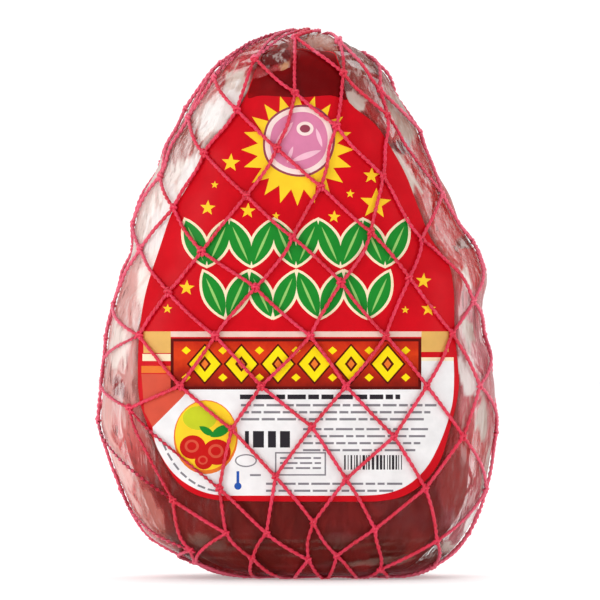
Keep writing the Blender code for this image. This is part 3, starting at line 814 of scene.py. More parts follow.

# Its smooth cloudy patches, in pixels of the photograph: the middle, half width and half height,
# a turn in degrees, the colour, and how far they hide what is behind. Most are pale, painted glare
# on the film; the few brick-red ones show the ham's colour through it.
FILM_GLARE_AND_TINT_PATCHES = (
    (236, 84, 13, 18, 30, LINEN, 0.85),
    (217, 112, 13, 30, 38, PEARL, 0.85),
    (192, 172, 13, 32, 30, PEARL, 0.85),
    (166, 222, 13, 38, 22, PEARL, 0.85),
    (148, 284, 10, 34, 12, CREAM, 0.80),
    (118, 346, 9, 24, 8, CREAM, 0.70),
    (108, 412, 5, 26, -4, SHELL, 0.65),
    (122, 466, 5, 34, -23, SHELL, 0.75),
    (139, 508, 3, 26, -32, SHELL, 0.70),
    (150, 508, 8, 26, -28, COPPER, 0.60),
    (207, 543, 20, 7, 16, OLIVE, 0.45),
    (385, 561, 38, 4, -5, TAN, 0.50),
    (356, 102, 8, 13, -32, LINEN, 0.85),
    (402, 118, 9, 28, -26, TAN, 0.85),
    (405, 176, 8, 26, -24, LINEN, 0.85),
    (317, 40, 20, 9, 18, OLIVE, 0.85),
    (283, 62, 5, 9, -20, (222, 156, 110), 0.75),
    (470, 256, 8, 12, -30, BRICK, 0.60),
    (467, 280, 4, 12, -10, CREAM, 0.70),
    (467, 333, 5, 16, -8, LINEN, 0.60),
    (466, 374, 7, 19, -12, PEARL, 0.75),
    (481, 421, 6, 27, 4, LINEN, 0.60),
    (474, 446, 8, 13, 4, BRICK, 0.60),
    (452, 484, 17, 30, 0, (172, 50, 46), 0.45),
    (484, 486, 5, 34, 10, LINEN, 0.65),
    (472, 528, 9, 26, 24, PEARL, 0.75),
    (455, 551, 14, 8, 24, LINEN, 0.60),
)

# Its crumpled clumps, given in the same way, but with how strong their streaks of painted
# highlight and crease shade are. Their dark tones are painted shade in the folds.
FILM_CRUMPLES = (
    (180, 143, 20, 24, 25, (190, 120, 110), 1.0),
    (366, 62, 20, 14, 45, (150, 88, 74), 1.0),
    (272, 58, 24, 10, -24, (124, 22, 20), 0.75),
    (402, 146, 9, 6, 30, (112, 20, 26), 0.95),
    (118, 386, 5, 10, -20, (150, 44, 44), 0.9),
    (466, 242, 12, 8, -30, (120, 66, 52), 0.9),
)

BACK_TONE, BACK_VEIL = (206, 112, 104), 0.14
BASE_TONE = (126, 92, 78)


def oval_share(x, y, oval_place, ragged):
    """1 inside a turned oval of the photograph and 0 outside, with a soft ragged edge."""
    cx, cy, reach_x, reach_y, degrees = oval_place
    turn = math.radians(degrees)
    a = (x - cx) * math.cos(turn) + (y - cy) * math.sin(turn)
    b = -(x - cx) * math.sin(turn) + (y - cy) * math.cos(turn)
    return ease(1.15, 0.8, np.hypot(a / reach_x, b / reach_y) * ragged)


def film_paint(points, normals, loose):
    """The film's streaks, cloudiness and colour at each point: painted highlights, crease shade and
    glare.
    """
    x, y = photo_place(points)
    rows, *columns = zip(*FILM_TONES)
    right = ease(PHOTO_AXIS_X - 40, PHOTO_AXIS_X + 40, x)

    def by_row(left_values, right_values):
        return (np.interp(y, rows, left_values) * (1 - right)
                + np.interp(y, rows, right_values) * right)

    sides = [np.array([linear(*colour) for colour in columns[k]]).T for k in (0, 3)]
    tone = np.stack([by_row(low, high) for low, high in zip(*sides)], axis=1)
    cloud = value_noise(points / 12.0, 31)
    streaky = by_row(columns[1], columns[4])
    band = np.clip(loose * streaky * (0.8 + 0.5 * (cloud - 0.5)), 0.0, 1.0)
    veil = loose * by_row(columns[2], columns[5])
    front = ease(0.25, -0.1, normals[:, 1])
    back = ease(0.1, 0.6, normals[:, 1])
    tone = toward(tone, BACK_TONE, back)
    veil = veil + (BACK_VEIL - veil) * back
    grain = points * np.array([1.0, 1.0, 0.35])
    ragged = (1 + 0.8 * (value_noise(grain / 3.0, 33) - 0.5)
              + 0.6 * (value_noise(grain / 1.3, 34) - 0.5))
    # Cloudy patches, mostly painted glare, hide what lies behind.
    for *place, colour, alpha in FILM_GLARE_AND_TINT_PATCHES:
        share = oval_share(x, y, place, ragged) * front
        veil = veil + (alpha - veil) * share
        tone = toward(tone, colour, share)
        band = band * (1 - 0.5 * share)
    # Crumpled clumps: strong streaks of painted highlight and crease shade.
    for *place, colour, strength in FILM_CRUMPLES:
        share = oval_share(x, y, place, ragged) * front
        veil = veil + (0.55 * strength - veil) * share
        tone = toward(tone, colour, share)
        band = band + (strength - band) * share
    # Low on the front, long level painted highlights in the film near the base.
    lines = value_noise(points * np.array([0.06, 0.06, 0.7]), 35)
    low = ease(24.0, 14.0, points[:, 2]) * ease(4.0, 8.0, points[:, 2]) * front
    base_glint = 0.22 * low * ease(0.5, 0.85, lines)
    tone = toward(tone, BASE_TONE, low * ease(0.9, 0.6, loose))
    return band, np.maximum(veil, base_glint), tone


def build_film(material):
    """The clear film, with its folds, pleats and creases."""
    u, s = grid_of(FILM_COLUMNS, FILM_ROWS, FILM_CROWD)
    points, normals = FORM.surface(u, s)
    relief, loose = film_relief(points, normals, u, s)
    moved = points + normals * relief[:, None]
    moved[:, 2] = np.maximum(moved[:, 2], FILM_FLOOR)
    poles, _ = FORM.surface(np.zeros(2), np.array([0.0, FORM.length]))
    mesh = closed_grid("film", moved, poles, FILM_ROWS, FILM_COLUMNS)
    band, veil, tone = film_paint(points, normals, loose)
    write_values(mesh, "band", np.append(band, [0.0, 0.5]))
    write_values(mesh, "veil", np.append(veil, [0.0, 0.1]))
    write_colours(mesh, "tone", np.concatenate([tone, tone[:1], tone[-1:]]))
    add_piece("film", mesh, [material], "sealed_ham")


# The printed label, in pixels of the photograph

def oval(x, y, radius_x, radius_y, count=28):
    """An upright oval."""
    angle = np.linspace(0.0, math.tau, count, endpoint=False)
    return np.stack([x + radius_x * np.cos(angle), y + radius_y * np.sin(angle)], axis=1)


def spiky(x, y, outer, inner, spikes, turn=-math.pi / 2):
    """A star, or a burst of many short spikes."""
    angle = turn + np.arange(2 * spikes) * math.pi / spikes
    radius = np.where(np.arange(2 * spikes) % 2 == 0, outer, inner)
    return np.stack([x + radius * np.cos(angle), y + radius * np.sin(angle)], axis=1)


def bar(x0, y0, x1, y1):
    """An upright rectangle."""
    return np.array([(x0, y0), (x1, y0), (x1, y1), (x0, y1)], float)


def leaf(x, y, length, width, turn, count=8):
    """An almond-shaped leaf about (x, y), standing upright before it is turned."""
    t = np.linspace(0.0, 1.0, count + 1)
    side = width / 2 * np.sin(math.pi * t) ** 0.8
    along = (0.5 - t) * length
    right = np.stack([side, along], axis=1)
    left = np.stack([-side[1:-1], along[1:-1]], axis=1)[::-1]
    points = np.concatenate([right, left])
    cos, sin = math.cos(turn), math.sin(turn)
    return points @ np.array([[cos, sin], [-sin, cos]]) + (x, y)


def short_edges(points, longest):
    """The closed outline with points added, so that it can follow a curved surface."""
    found = []
    for start, end in zip(points, np.roll(points, -1, axis=0)):
        steps = max(1, math.ceil(math.dist(start, end) / longest))
        found += [start + (end - start) * k / steps for k in range(steps)]
    return np.array(found)


class Print:
    """The shapes of the print, bottom to top, each with its colour."""

    def __init__(self):
        self.shapes = []

    def add(self, colour, points):
        """Adds a closed outline on top. All are wound the same way."""
        points = np.asarray(points, float)
        x, y = points.T
        if (x * np.roll(y, -1) - np.roll(x, -1) * y).sum() < 0:
            points = points[::-1]
        self.shapes.append((colour, short_edges(points, LABEL_GRID)))


def draw_fields(art):
    """The red ground, the top where the label bends back, in painted shade, the white field and
    the bands between them.
    """
    art.add("red", LABEL_LOOP)
    art.add("tongue", smooth_loop(
        ((248, 98), (262, 96), (298, 98), (330, 96), (347, 100), (342, 80), (337, 62), (330, 53),
         (300, 50), (269, 52), (259, 64), (253, 80))))
    right = smooth_stretch(
        ((453, 361), (453.5, 378), (452.5, 398), (449.5, 413), (444, 431), (437, 448),
         (428.5, 464), (416.5, 478), (402, 488), (385, 493.5), (368, 495.2), (350, 495.5)))
    left = smooth_stretch(
        ((232, 495.5), (214, 494.3), (198, 489.5), (182.5, 480.5), (170.5, 469), (162, 456),
         (155.5, 442), (153, 427)))
    art.add("white", ((190, 386), (421, 386), (421, 361), *right, *left, (181, 399)))
    for colour, *corners in (
            ("rose", 171, 331.5, 421, 337), ("wheat", 144, 331.5, 171, 353),
            ("wheat", 421, 331.5, 448, 352), ("cream", 421, 357.5, 453, 361),
            ("cream", 143, 354, 171, 361), ("orange", 142, 366, 171, 373)):
        art.add(colour, bar(*corners))
    art.add("salmon", ((142, 374), (171, 374), (171, 389), (190, 389), (181, 399), (153, 427),
                       (145, 412)))
    art.add("frame", bar(171, 338.5, 421, 389.5))
    art.add("panel", bar(174, 341.5, 418, 386.5))


def draw_burst(art):
    """A yellow burst with a slice of ham in it."""
    x, y = 297.5, 150.0
    art.add("yellow", spiky(x, y, 56, 40, 20))
    slice_edge = smooth_loop(((263, 146), (268, 122), (287, 108), (311, 106), (329, 118),
                              (335, 140), (328, 163), (309, 176), (287, 175), (269, 164)), 5)
    middle = np.array([298.0, 141.0])
    art.add("rind", slice_edge)
    art.add("fat", middle + (slice_edge - middle) * 0.94)
    art.add("pink", middle + (slice_edge - middle) * 0.80)
    for x, y, length, width, degrees in ((284, 134, 30, 6, 38), (306, 156, 32, 6, 70),
                                         (290, 155, 18, 4, 20), (319, 138, 20, 4, -18)):
        art.add("light_pink", leaf(x, y, length, width, math.radians(degrees)))
    art.add("fat", oval(305, 129, 8.5, 7))
    art.add("rind", oval(305, 129, 5.2, 4))


# The stars: pixel column and row of the middle, and size.
STARS = (
    (231, 163, 9.5), (215, 185, 4), (208, 208, 8), (248, 211, 8), (276, 216, 4), (371, 176, 8.5),
    (350, 194, 4.5), (375, 204, 16), (334, 217, 6.5), (423, 281, 8), (187, 288, 8),
    (168, 309, 5), (228, 313, 4), (405, 310, 4), (428, 309, 7.5),
)


def draw_stars(art):
    """Plain yellow stars."""
    for x, y, size in STARS:
        art.add("yellow", spiky(x, y, size, size * 0.42, 5, math.radians(-86)))


def draw_garland(art):
    """Two rows of green leaves with cream outlines and cream ribs."""
    rows = ((196, 396, 243, 10), (214, 379, 294.5, 8))
    leaves = []
    for left, right, y, count in rows:
        for k in range(count):
            x = left + (right - left) * k / (count - 1)
            tilt = math.radians(24 if k % 2 else -24)
            leaves.append((x, y, tilt))
    for x, y, tilt in leaves:
        art.add("cream", leaf(x, y, 56, 25, tilt, 12))
    for x, y, tilt in leaves:
        art.add("green", leaf(x, y, 49, 19.5, tilt, 12))
        art.add("light_green", leaf(x, y + 1, 38, 2.6, tilt, 6))


PANEL_MIDDLE, LOZENGE_STEP = 364, 36.5


def draw_panel(art):
    """Six yellow lozenges with darker hearts, and small ones between them."""
    y = PANEL_MIDDLE
    for k in range(6):
        x = 205 + LOZENGE_STEP * k
        for colour, wide, tall in (("dark_brown", 18.0, 20.5), ("bright_yellow", 15.5, 18.0),
                                   ("dark_brown", 6.4, 8.0), ("orange", 3.6, 4.8)):
            art.add(colour, ((x, y - tall), (x + wide, y), (x, y + tall), (x - wide, y)))
    for k in range(7):
        x = 186.5 + LOZENGE_STEP * k
        for y in (350.5, 377.5):
            art.add("bright_yellow", ((x, y - 4), (x + 4.6, y), (x, y + 4), (x - 4.6, y)))


def draw_roundel(art):
    """A plain yellow disc with three red slices and two leaves."""
    art.add("orange", oval(206, 437, 32, 37, 36))
    art.add("yellow", oval(206, 435.5, 30.5, 34.5, 36))
    art.add("lime", oval(200, 418, 17, 12, 24))
    for x, y, size in ((193, 447, 13), (217, 452, 14), (204, 461, 9)):
        art.add("crimson", oval(x, y, size, size * 0.92, 24))
        art.add("salmon", oval(x - 1, y - 1, size * 0.55, size * 0.5, 18))
        art.add("crimson", oval(x - 1, y - 1, size * 0.36, size * 0.32, 14))
    art.add("green", leaf(221, 431, 24, 10, math.radians(62)))
    art.add("green", leaf(207, 431, 18, 7, math.radians(-58)))


def dashes(art, colour, x0, x1, y0, y1, seed):
    """A line of small print: a row of plain dashes of uneven length."""
    rng = np.random.default_rng(seed)
    x = x0
    while x < x1 - 4:
        end = min(x + rng.uniform(7, 19), x1)
        art.add(colour, bar(x, y0, end, y1))
        x = end + 2.4


def draw_details(art):
    """Plain dashes, bars, a frame, an oval and a thermometer in place of the small print."""
    dashes(art, "ink", 240, 400, 394.5, 399.2, 1)
    for k, y in enumerate((404, 411, 418)):
        dashes(art, "grey", 241, 436 - 6 * k, y, y + 2.4, 2 + k)
    for k, y in enumerate((428, 435, 442, 449)):
        dashes(art, "grey", 303, 430 - 5 * k, y, y + 2.2, 10 + k)
    for x0, x1 in ((245, 249), (253, 264), (268, 276), (280, 290)):
        art.add("ink", bar(x0, 431, x1, 447.5))
    rng = np.random.default_rng(40)
    x = 344.0
    while x < 402:
        width = rng.choice((0.9, 1.7, 2.5))
        art.add("ink", bar(x, 455, x + width, 469.5))
        x += width + rng.choice((1.1, 1.9))
    art.add("grey", bar(275, 452, 326, 475.5))
    art.add("white", bar(276.5, 453.5, 324.5, 474))
    for y in (457, 462, 467):
        dashes(art, "grey", 280, 321, y, y + 1.9, int(y))
    art.add("grey", oval(246, 460.5, 11, 6.5, 24))
    art.add("white", oval(246, 460.5, 9.6, 5.2, 24))
    art.add("blue", oval(238, 486, 3.6, 3.6))
    art.add("blue", bar(236.6, 471, 239.4, 486))
    dashes(art, "grey", 250, 262, 474, 476, 60)
    for k, y in enumerate((482.5, 489.5)):
        dashes(art, "grey", 266, 402 - 8 * k, y, y + 2.2, 70 + k)
    curve = ((163, 442), (168, 453), (174, 463), (181, 472), (189, 479), (198, 485), (208, 489),
             (219, 491.5), (229, 492.5))
    for (x0, y0), (x1, y1) in zip(curve, curve[1:]):
        along = np.array([x1 - x0, y1 - y0]) * 0.74
        across = unit(np.array([-along[1], along[0]]))
        start = np.array([x0, y0])
        art.add("grey", (start - across, start + along - across, start + along + across,
                         start + across))


# The colours of the print, as 0 to 255 screen values.
PRINT_COLOURS = {
    "red": (205, 10, 26),
    "white": (238, 236, 236),
    "cream": (246, 226, 190),
    "rose": (232, 200, 186),
    "wheat": (226, 176, 96),
    "orange": (232, 120, 44),
    "salmon": (212, 82, 60),
    "frame": (92, 14, 10),
    "yellow": (250, 206, 44),
    "bright_yellow": (252, 222, 20),
    "rind": (150, 66, 84),
    "fat": (248, 222, 216),
    "pink": (218, 130, 166),
    "light_pink": (244, 190, 208),
    "green": (30, 134, 44),
    "light_green": (150, 200, 110),
    "dark_brown": (84, 18, 8),
    "lime": (196, 204, 40),
    "crimson": (196, 22, 20),
    "ink": (44, 40, 46),
    "grey": (130, 126, 132),
    "blue": (40, 84, 168),
}

# How far the label stands off the form, less where film lies over it, the depth of its edge, and
# the grid of points that lets the print follow the form, in pixels.
LABEL_LIFT, LABEL_TUCK, LABEL_EDGE = 0.45, 0.06, 0.30
LABEL_GRID = 5.5
LABEL_COLUMNS, LABEL_ROWS = (136, 460), (48, 506)


def label_relief(x, height):
    """Shallow waves of the label, with a few creases where it bends back over the top."""
    places = np.stack([x, np.zeros(len(x)), height], axis=1)
    waves = (0.22 * (value_noise(places / 19.0, 51) - 0.5)
             + 0.07 * (value_noise(places / 6.0, 52) - 0.5))
    creases = crumple(places * np.array([1.0, 1.0, 0.6]), 8.0, 53, 5)
    return waves + 0.32 * creases * ease(184.0, 200.0, height)


def label_surface(x, height):
    """Points of the label. It dips under the film where that is gathered over its top."""
    points, normals = FORM.front_surface(x, height)
    over = over_label(*photo_place(points))
    lift = LABEL_LIFT + label_relief(x, height)
    lift = lift * (1 - over) + LABEL_TUCK * over
    return points + normals * lift[:, None]


def label_normals(x, height, step=0.6):
    """The label's outward directions, from its smooth surface."""
    along_x = label_surface(x + step, height) - label_surface(x - step, height)
    along_z = label_surface(x, height + step) - label_surface(x, height - step)
    return unit(np.cross(along_x, along_z))


def build_label():
    """The print cut into one flat mesh, laid over the front and given an edge turned inwards."""
    art = Print()
    for draw in (draw_fields, draw_burst, draw_stars, draw_garland, draw_panel, draw_roundel,
                 draw_details):
        draw(art)
    names = list(PRINT_COLOURS) + ["panel", "tongue"]
    verts, faces = [], []
    for _, points in art.shapes:
        faces.append(list(range(len(verts), len(verts) + len(points))))
        verts += [Vector(p) for p in points]
    for x in np.arange(*LABEL_COLUMNS, LABEL_GRID):
        for y in np.arange(*LABEL_ROWS, LABEL_GRID):
            verts.append(Vector((x, y)))
    flat, _, triangles, _, _, owners = delaunay_2d_cdt(verts, [], faces, 0, 1e-4)
    kept, slots = [], []
    for triangle, owner in zip(triangles, owners):
        if 0 in owner:
            kept.append(triangle)
            slots.append(names.index(art.shapes[max(owner)][0]))
    flat = np.array([tuple(v) for v in flat])
    x, height = front_place(flat[:, 0], flat[:, 1])
    mesh = mesh_of("label_print", label_surface(x, height), kept)
    for name, colour in PRINT_COLOURS.items():
        mesh.materials.append(print_material("print_" + name, colour))
    mesh.materials.append(panel_material())
    # The label's top carries a painted shade.
    mesh.materials.append(tongue_shade_material())
    mesh.polygons.foreach_set("material_index", slots)
    bm = bmesh.new()
    bm.from_mesh(mesh)
    bmesh.ops.delete(bm, geom=[v for v in bm.verts if not v.link_faces], context="VERTS")
    bm.normal_update()
    if sum(f.normal.y * f.calc_area() for f in bm.faces) > 0:
        bmesh.ops.reverse_faces(bm, faces=bm.faces)
    rim = [e for e in bm.edges if e.is_boundary]

    def key(v):
        return tuple(round(c, 7) for c in v.co)

    outward = {key(v): v.normal.copy() for e in rim for v in e.verts}
    for made in bmesh.ops.extrude_edge_only(bm, edges=rim)["geom"]:
        if isinstance(made, bmesh.types.BMVert):
            made.co -= outward[key(made)] * LABEL_EDGE * MM
    bm.to_mesh(mesh)
    bm.free()
    mesh.shade_smooth()
    places = np.array([tuple(v.co) for v in mesh.vertices]) / MM
    mesh.normals_split_custom_set_from_vertices(label_normals(places[:, 0], places[:, 2]).tolist())
    add_piece("label_print", mesh, [], "label")


# The net

# The lattice, as in the part's source, and then the twine: its radius, the length of one turn,
# and how finely strands and knots are made.
MESHES_ROUND = 12
STRAND_LENGTH = 24.8
BASE_SLACK = 6.5
BASE_GATHER_RADIUS, TOP_GATHER_RADIUS = 7.0, 7.0
NET_LEAN = 0.012
TWINE_RADIUS, TWINE_TURN = 0.85, 5.2
STRAND_STEPS, SECTION_POINTS = 22, 8
LOOP_STEPS, LOOP_SIDES, LOOP_RADIUS = 16, 6, 0.52
LOW_LIFT, MORE_LIFT = 0.75, 0.75
FLOOR_GAP, FAR_AWAY = 0.05, 1000.0
RIGHT, UP = np.array([1.0, 0.0, 0.0]), np.array([0.0, 0.0, 1.0])

# Knots that the photograph shows: by row, the column of the first and then their pixels from left
# to right. The net is even where it can't be seen.
SEEN_KNOTS = {
    2: (-2, ((254, 557), (309, 559), (338, 554), (381, 568))),
    3: (-3, ((194, 547), (228, 532), (268, 533), (314, 521), (375, 529), (436, 539))),
    4: (-3, ((176, 499), (221, 489), (277, 475), (347, 479), (425, 488), (483, 488))),
    5: (-2, ((133, 408), (233, 430), (313, 427), (395, 437), (462, 436))),
    6: (-3, ((108, 372), (182, 385), (262, 385), (346, 385), (427, 385), (478, 385))),
    7: (-2, ((143, 337), (217, 336), (311, 336), (386, 336), (452, 334))),
    8: (-3, ((118, 306), (171, 293), (256, 287), (342, 282), (409, 278), (471, 300))),
    9: (-2, ((144, 251), (204, 251), (293, 238), (371, 232), (421, 240))),
    10: (-3, ((130, 223), (177, 208), (248, 196), (322, 188), (382, 176), (440, 196))),
    11: (-2, ((164, 177), (207, 155), (278, 148), (337, 128), (386, 116))),
    12: (-2, ((192, 120), (239, 111), (296, 95), (343, 75), (378, 92))),
    13: (-1, ((218, 80), (257, 61), (296, 40), (338, 44))),
}


def net_rows():
    """Where the rows of knots lie, as in the part's source."""
    quarter, half = FINE_ROWS // 4, FINE_ROWS // 2
    s = float(np.interp(BASE_GATHER_RADIUS, FORM.half_x[:quarter], FORM.rows[:quarter]))
    rows = [s]
    while True:
        half_mesh = np.interp(s, FORM.rows, FORM.girth) / (2 * MESHES_ROUND)
        s += math.sqrt(STRAND_LENGTH**2 - half_mesh**2)
        if len(rows) == 1:
            s -= BASE_SLACK
        half_width = np.interp(s, FORM.rows, FORM.half_x)
        if half_width < TOP_GATHER_RADIUS + 5.0 and s > FORM.length / 2:
            break
        rows.append(s)
    rows.append(float(np.interp(-TOP_GATHER_RADIUS, -FORM.half_x[half:], FORM.rows[half:])))
    return rows


def on_front(x, y):
    """(u, s) of the place on the front that the photograph shows at pixel (x, y)."""
    grid_x, grid_y = photo_place(FORM.grid.reshape(-1, 3) + SHIFT)
    away = np.hypot(grid_x - x, grid_y - y).reshape(FORM.grid.shape[:2])
    away[FORM.normals[:, :, 1] > 0.12] += FAR_AWAY
    i, j = np.unravel_index(np.argmin(away), away.shape)
    u = j / FINE_COLUMNS
    return np.array([u - round(u), FORM.rows[i]])


def knot_places():
    """(u, s) of every knot, by row and column: an even lattice, its seen part moved into place.
    Knots out of sight follow their neighbours in the row, less and less."""
    places = {}
    for i, s in enumerate(net_rows()):
        lean = NET_LEAN * math.sin(math.pi * s / FORM.length)
        for j in range(MESHES_ROUND):
            places[i, j] = np.array([(j + 0.5 * ((i + 1) % 2)) / MESHES_ROUND + lean, s])
    for i, (first, seen) in SEEN_KNOTS.items():
        moves = {}
        for k, (x, y) in enumerate(seen):
            column = (first + k) % MESHES_ROUND
            start = places[i, column]
            target = on_front(x, y)
            target[0] += round(start[0] - target[0])
            moves[column] = target - start
        last = first + len(seen) - 1
        for column in range(MESHES_ROUND):
            move = moves.get(column)
            if move is None:
                to_left, to_right = (first - column) % MESHES_ROUND, (column - last) % MESHES_ROUND
                move = (0.5 ** to_left * moves[first % MESHES_ROUND]
                        + 0.5 ** to_right * moves[last % MESHES_ROUND])
            places[i, column] = places[i, column] + move
    return places


def net_lift(s):
    """Height of the strands' middle line over the form: low under the base."""
    return LOW_LIFT + MORE_LIFT * ease(40.0, 62.0, s)


def rings_round(path, across, up, radius, angle):
    """Rings of points about a path, at these angles and radii from it."""
    return (path[:, None, :] + across[:, None, :] * (radius * np.cos(angle))[..., None]
            + up[:, None, :] * (radius * np.sin(angle))[..., None])


def twine(path, ups, radius=TWINE_RADIUS, phase=0.0):
    """A two-ply strand along a path: a waisted section that turns as it goes."""
    way = unit(np.gradient(path, axis=0))
    across = unit(np.cross(way, ups))
    angle = np.arange(SECTION_POINTS) * math.tau / SECTION_POINTS
    section = radius * (0.58 + 0.42 * np.abs(np.cos(angle)) ** 1.3)
    twist = phase + walked(*path.T)[:, None] / TWINE_TURN * math.tau
    return rings_round(path, across, np.cross(across, way), section, angle[None, :] + twist)


class Builder:
    """Collects the points and faces of many small tubes in one mesh."""

    def __init__(self):
        self.points, self.faces, self.count = [], [], 0

    def tube(self, rings, closed=False):
        """Adds a tube through rings of points, joined end to end or with a face at each end."""
        steps, sides = rings.shape[:2]
        base = self.count
        points = rings.reshape(-1, 3).copy()
        points[:, 2] = np.maximum(points[:, 2], FLOOR_GAP)
        self.points.append(points)
        self.count += steps * sides
        self.faces += ring_faces(base, steps, sides, closed)
        if not closed:
            self.faces.append(tuple(base + k for k in reversed(range(sides))))
            last = base + (steps - 1) * sides
            self.faces.append(tuple(last + k for k in range(sides)))

    def add_net_piece(self, name, material):
        """Adds the mesh, with how pale the twine is: a painted rim light, lighter towards the
        outline.
        """
        points = np.concatenate(self.points)
        made = mesh_of(name, points, self.faces)
        write_values(made, "pale", 0.6 * ease(0.82, 1.0, side_closeness(points)))
        add_piece(name, made, [material], "net")


def neighbours(i, j):
    """The two knots of the next row that a knot's strands run up to."""
    return (j + (i + 1) % 2) % MESHES_ROUND, (j - i % 2) % MESHES_ROUND


def strand_path(start, end):
    """Points along the strand between two knots, with the surface's normals."""
    other = end[0] + round(start[0] - end[0])
    t = np.linspace(0.0, 1.0, STRAND_STEPS)
    u = start[0] + (other - start[0]) * t
    s = start[1] + (end[1] - start[1]) * t
    points, normals = FORM.surface(u, s)
    return points + normals * net_lift(s)[:, None], normals


def build_strands(places, last, material):
    """The two strands that run up from each knot."""
    builder = Builder()
    for (i, j), start in places.items():
        if i == last:
            continue
        for k in neighbours(i, j):
            path, ups = strand_path(start, places[i + 1, k])
            builder.tube(twine(path, ups, phase=1.7 * i + 0.9 * j + k))
    builder.add_net_piece("net_strands", material)


def knot_rings(centre, normal, up, size):
    """Two loops of twine drawn tight through each other."""
    side = np.cross(up, normal)
    angle = np.linspace(0.0, math.tau, LOOP_STEPS, endpoint=False)
    turnings = np.arange(LOOP_SIDES) * math.tau / LOOP_SIDES
    for reach_side, reach_up, turn, out in ((1.25, 0.5, 0.7, 0.75 * np.sin(angle)),
                                            (0.7, 1.45, -0.6, 0.45 * np.cos(2 * angle))):
        across = reach_side * np.cos(angle)
        along = reach_up * np.sin(angle + turn)
        path = (centre + size * (side * across[:, None] + up * along[:, None]
                                 + normal * out[:, None]))
        way = unit(np.roll(path, -1, axis=0) - np.roll(path, 1, axis=0))
        across_way = unit(np.cross(way, path - centre))
        yield rings_round(path, across_way, np.cross(across_way, way), LOOP_RADIUS * size, turnings)


def build_knots(places, last, material):
    """The tied knots of every row between the two gathered ends."""
    builder = Builder()
    rng = np.random.default_rng(8)
    for (i, j), (u, s) in places.items():
        if i in (0, last):
            continue
        point, normal = FORM.surface(u, s)
        above, _ = FORM.surface(u, s + 1.0)
        up = unit(above[0] - point[0])
        size = rng.uniform(0.92, 1.12)
        centre = point[0] + normal[0] * (float(net_lift(s)) + 0.05)
        for rings in knot_rings(centre, normal[0], up, size):
            builder.tube(rings, closed=True)
    builder.add_net_piece("net_knots", material)


# The tail of the net behind the top: y and height of its middle, its radius, and its tilt in
# degrees. The clip sits round its narrowest place.
TAIL_X, TAIL_STEPS = 2.0, 40
TAIL_RINGS = (
    (13.4, 210.6, 4, 44), (14.6, 211.8, 2.8, 40), (16, 212.8, 2.2, 30), (17.2, 213.4, 2.1, 20),
    (19.2, 214.15, 2, 20), (21.2, 214.9, 2.1, 20), (23.4, 215.7, 3.3, 20), (25.4, 216.4, 3.9, 20),
)
CLIP_PLACE = (19.2, 214.15, 20)


def resample(points, count):
    """The polyline through the points at even steps, rounded off at its corners."""
    axes = np.array(points).T
    way = walked(*axes)
    at = np.linspace(0.0, way[-1], count)
    return np.stack([smooth_curve(way, axis, at) for axis in axes], axis=1)


def tail_frame(y, height, degrees):
    """The middle of the tail at one place, its way along there, and the way across it upwards."""
    rise = math.radians(degrees)
    along = np.array([0.0, math.cos(rise), math.sin(rise)])
    return np.array([TAIL_X, y, height]) + SHIFT, along, np.cross(RIGHT, along)


def build_tail(places, last, material):
    """The strands' ends, drawn together behind the top, through the clip and cut off."""
    builder = Builder()
    rng = np.random.default_rng(19)
    pole, pole_normal = FORM.surface(0.0, FORM.length)
    up = np.cross(RIGHT, pole_normal[0])
    tail_start = TAIL_RINGS[0][0]
    for j in range(MESHES_ROUND):
        u, s = places[last, j]
        for half in (-0.25, 0.25):
            start, normal = FORM.surface(u + half / MESHES_ROUND, s)
            offset = start[0] - pole[0]
            angle = math.atan2(offset @ up, offset @ RIGHT)
            route = [start[0] + normal[0] * 1.7]
            spread = rng.uniform(0.35, 1.0)
            for y, height, radius, degrees in TAIL_RINGS:
                centre, _, ring_up = tail_frame(y, height, degrees)
                reach = radius if y == tail_start else (radius - TWINE_RADIUS * 0.8) * spread
                turned = angle + 0.05 * (y - tail_start)
                out = RIGHT * math.cos(turned) + ring_up * math.sin(turned)
                route.append(centre + reach * out)
            last_step = route[-1] - route[-2]
            route[-1] = route[-1] - last_step * rng.uniform(0.0, 0.8)
            path = resample(route, TAIL_STEPS)
            ups = np.array([0.1, 0.3, 1.0])
            builder.tube(twine(path, ups, TWINE_RADIUS * 0.85, phase=angle * 3))
    builder.add_net_piece("net_tail", material)


def build_base_end(places, material):
    """The strands' lower ends, run together and pressed flat under the base."""
    builder = Builder()
    pole, _ = FORM.surface(0.0, 0.0)
    centre = np.array([pole[0][0], pole[0][1], 0.72])
    for j in range(MESHES_ROUND):
        start, normal = FORM.surface(*places[0, j])
        begin = start[0] + normal[0] * LOW_LIFT
        path = np.linspace(begin, centre + (begin - centre) * 0.05, 10)
        builder.tube(twine(path, -UP, 0.66, phase=j))
    turnings = np.arange(SECTION_POINTS) * math.tau / SECTION_POINTS
    for radius, tube in ((1.0, 0.62), (2.6, 0.6), (4.4, 0.55)):
        reach = oval(0.0, 0.0, radius * 1.25, radius * 0.85, 40)
        reach = np.column_stack([reach, np.zeros(40)])
        builder.tube(rings_round(centre + reach, unit(reach), UP[None, :], tube, turnings),
                     closed=True)
    builder.add_net_piece("net_base_end", material)


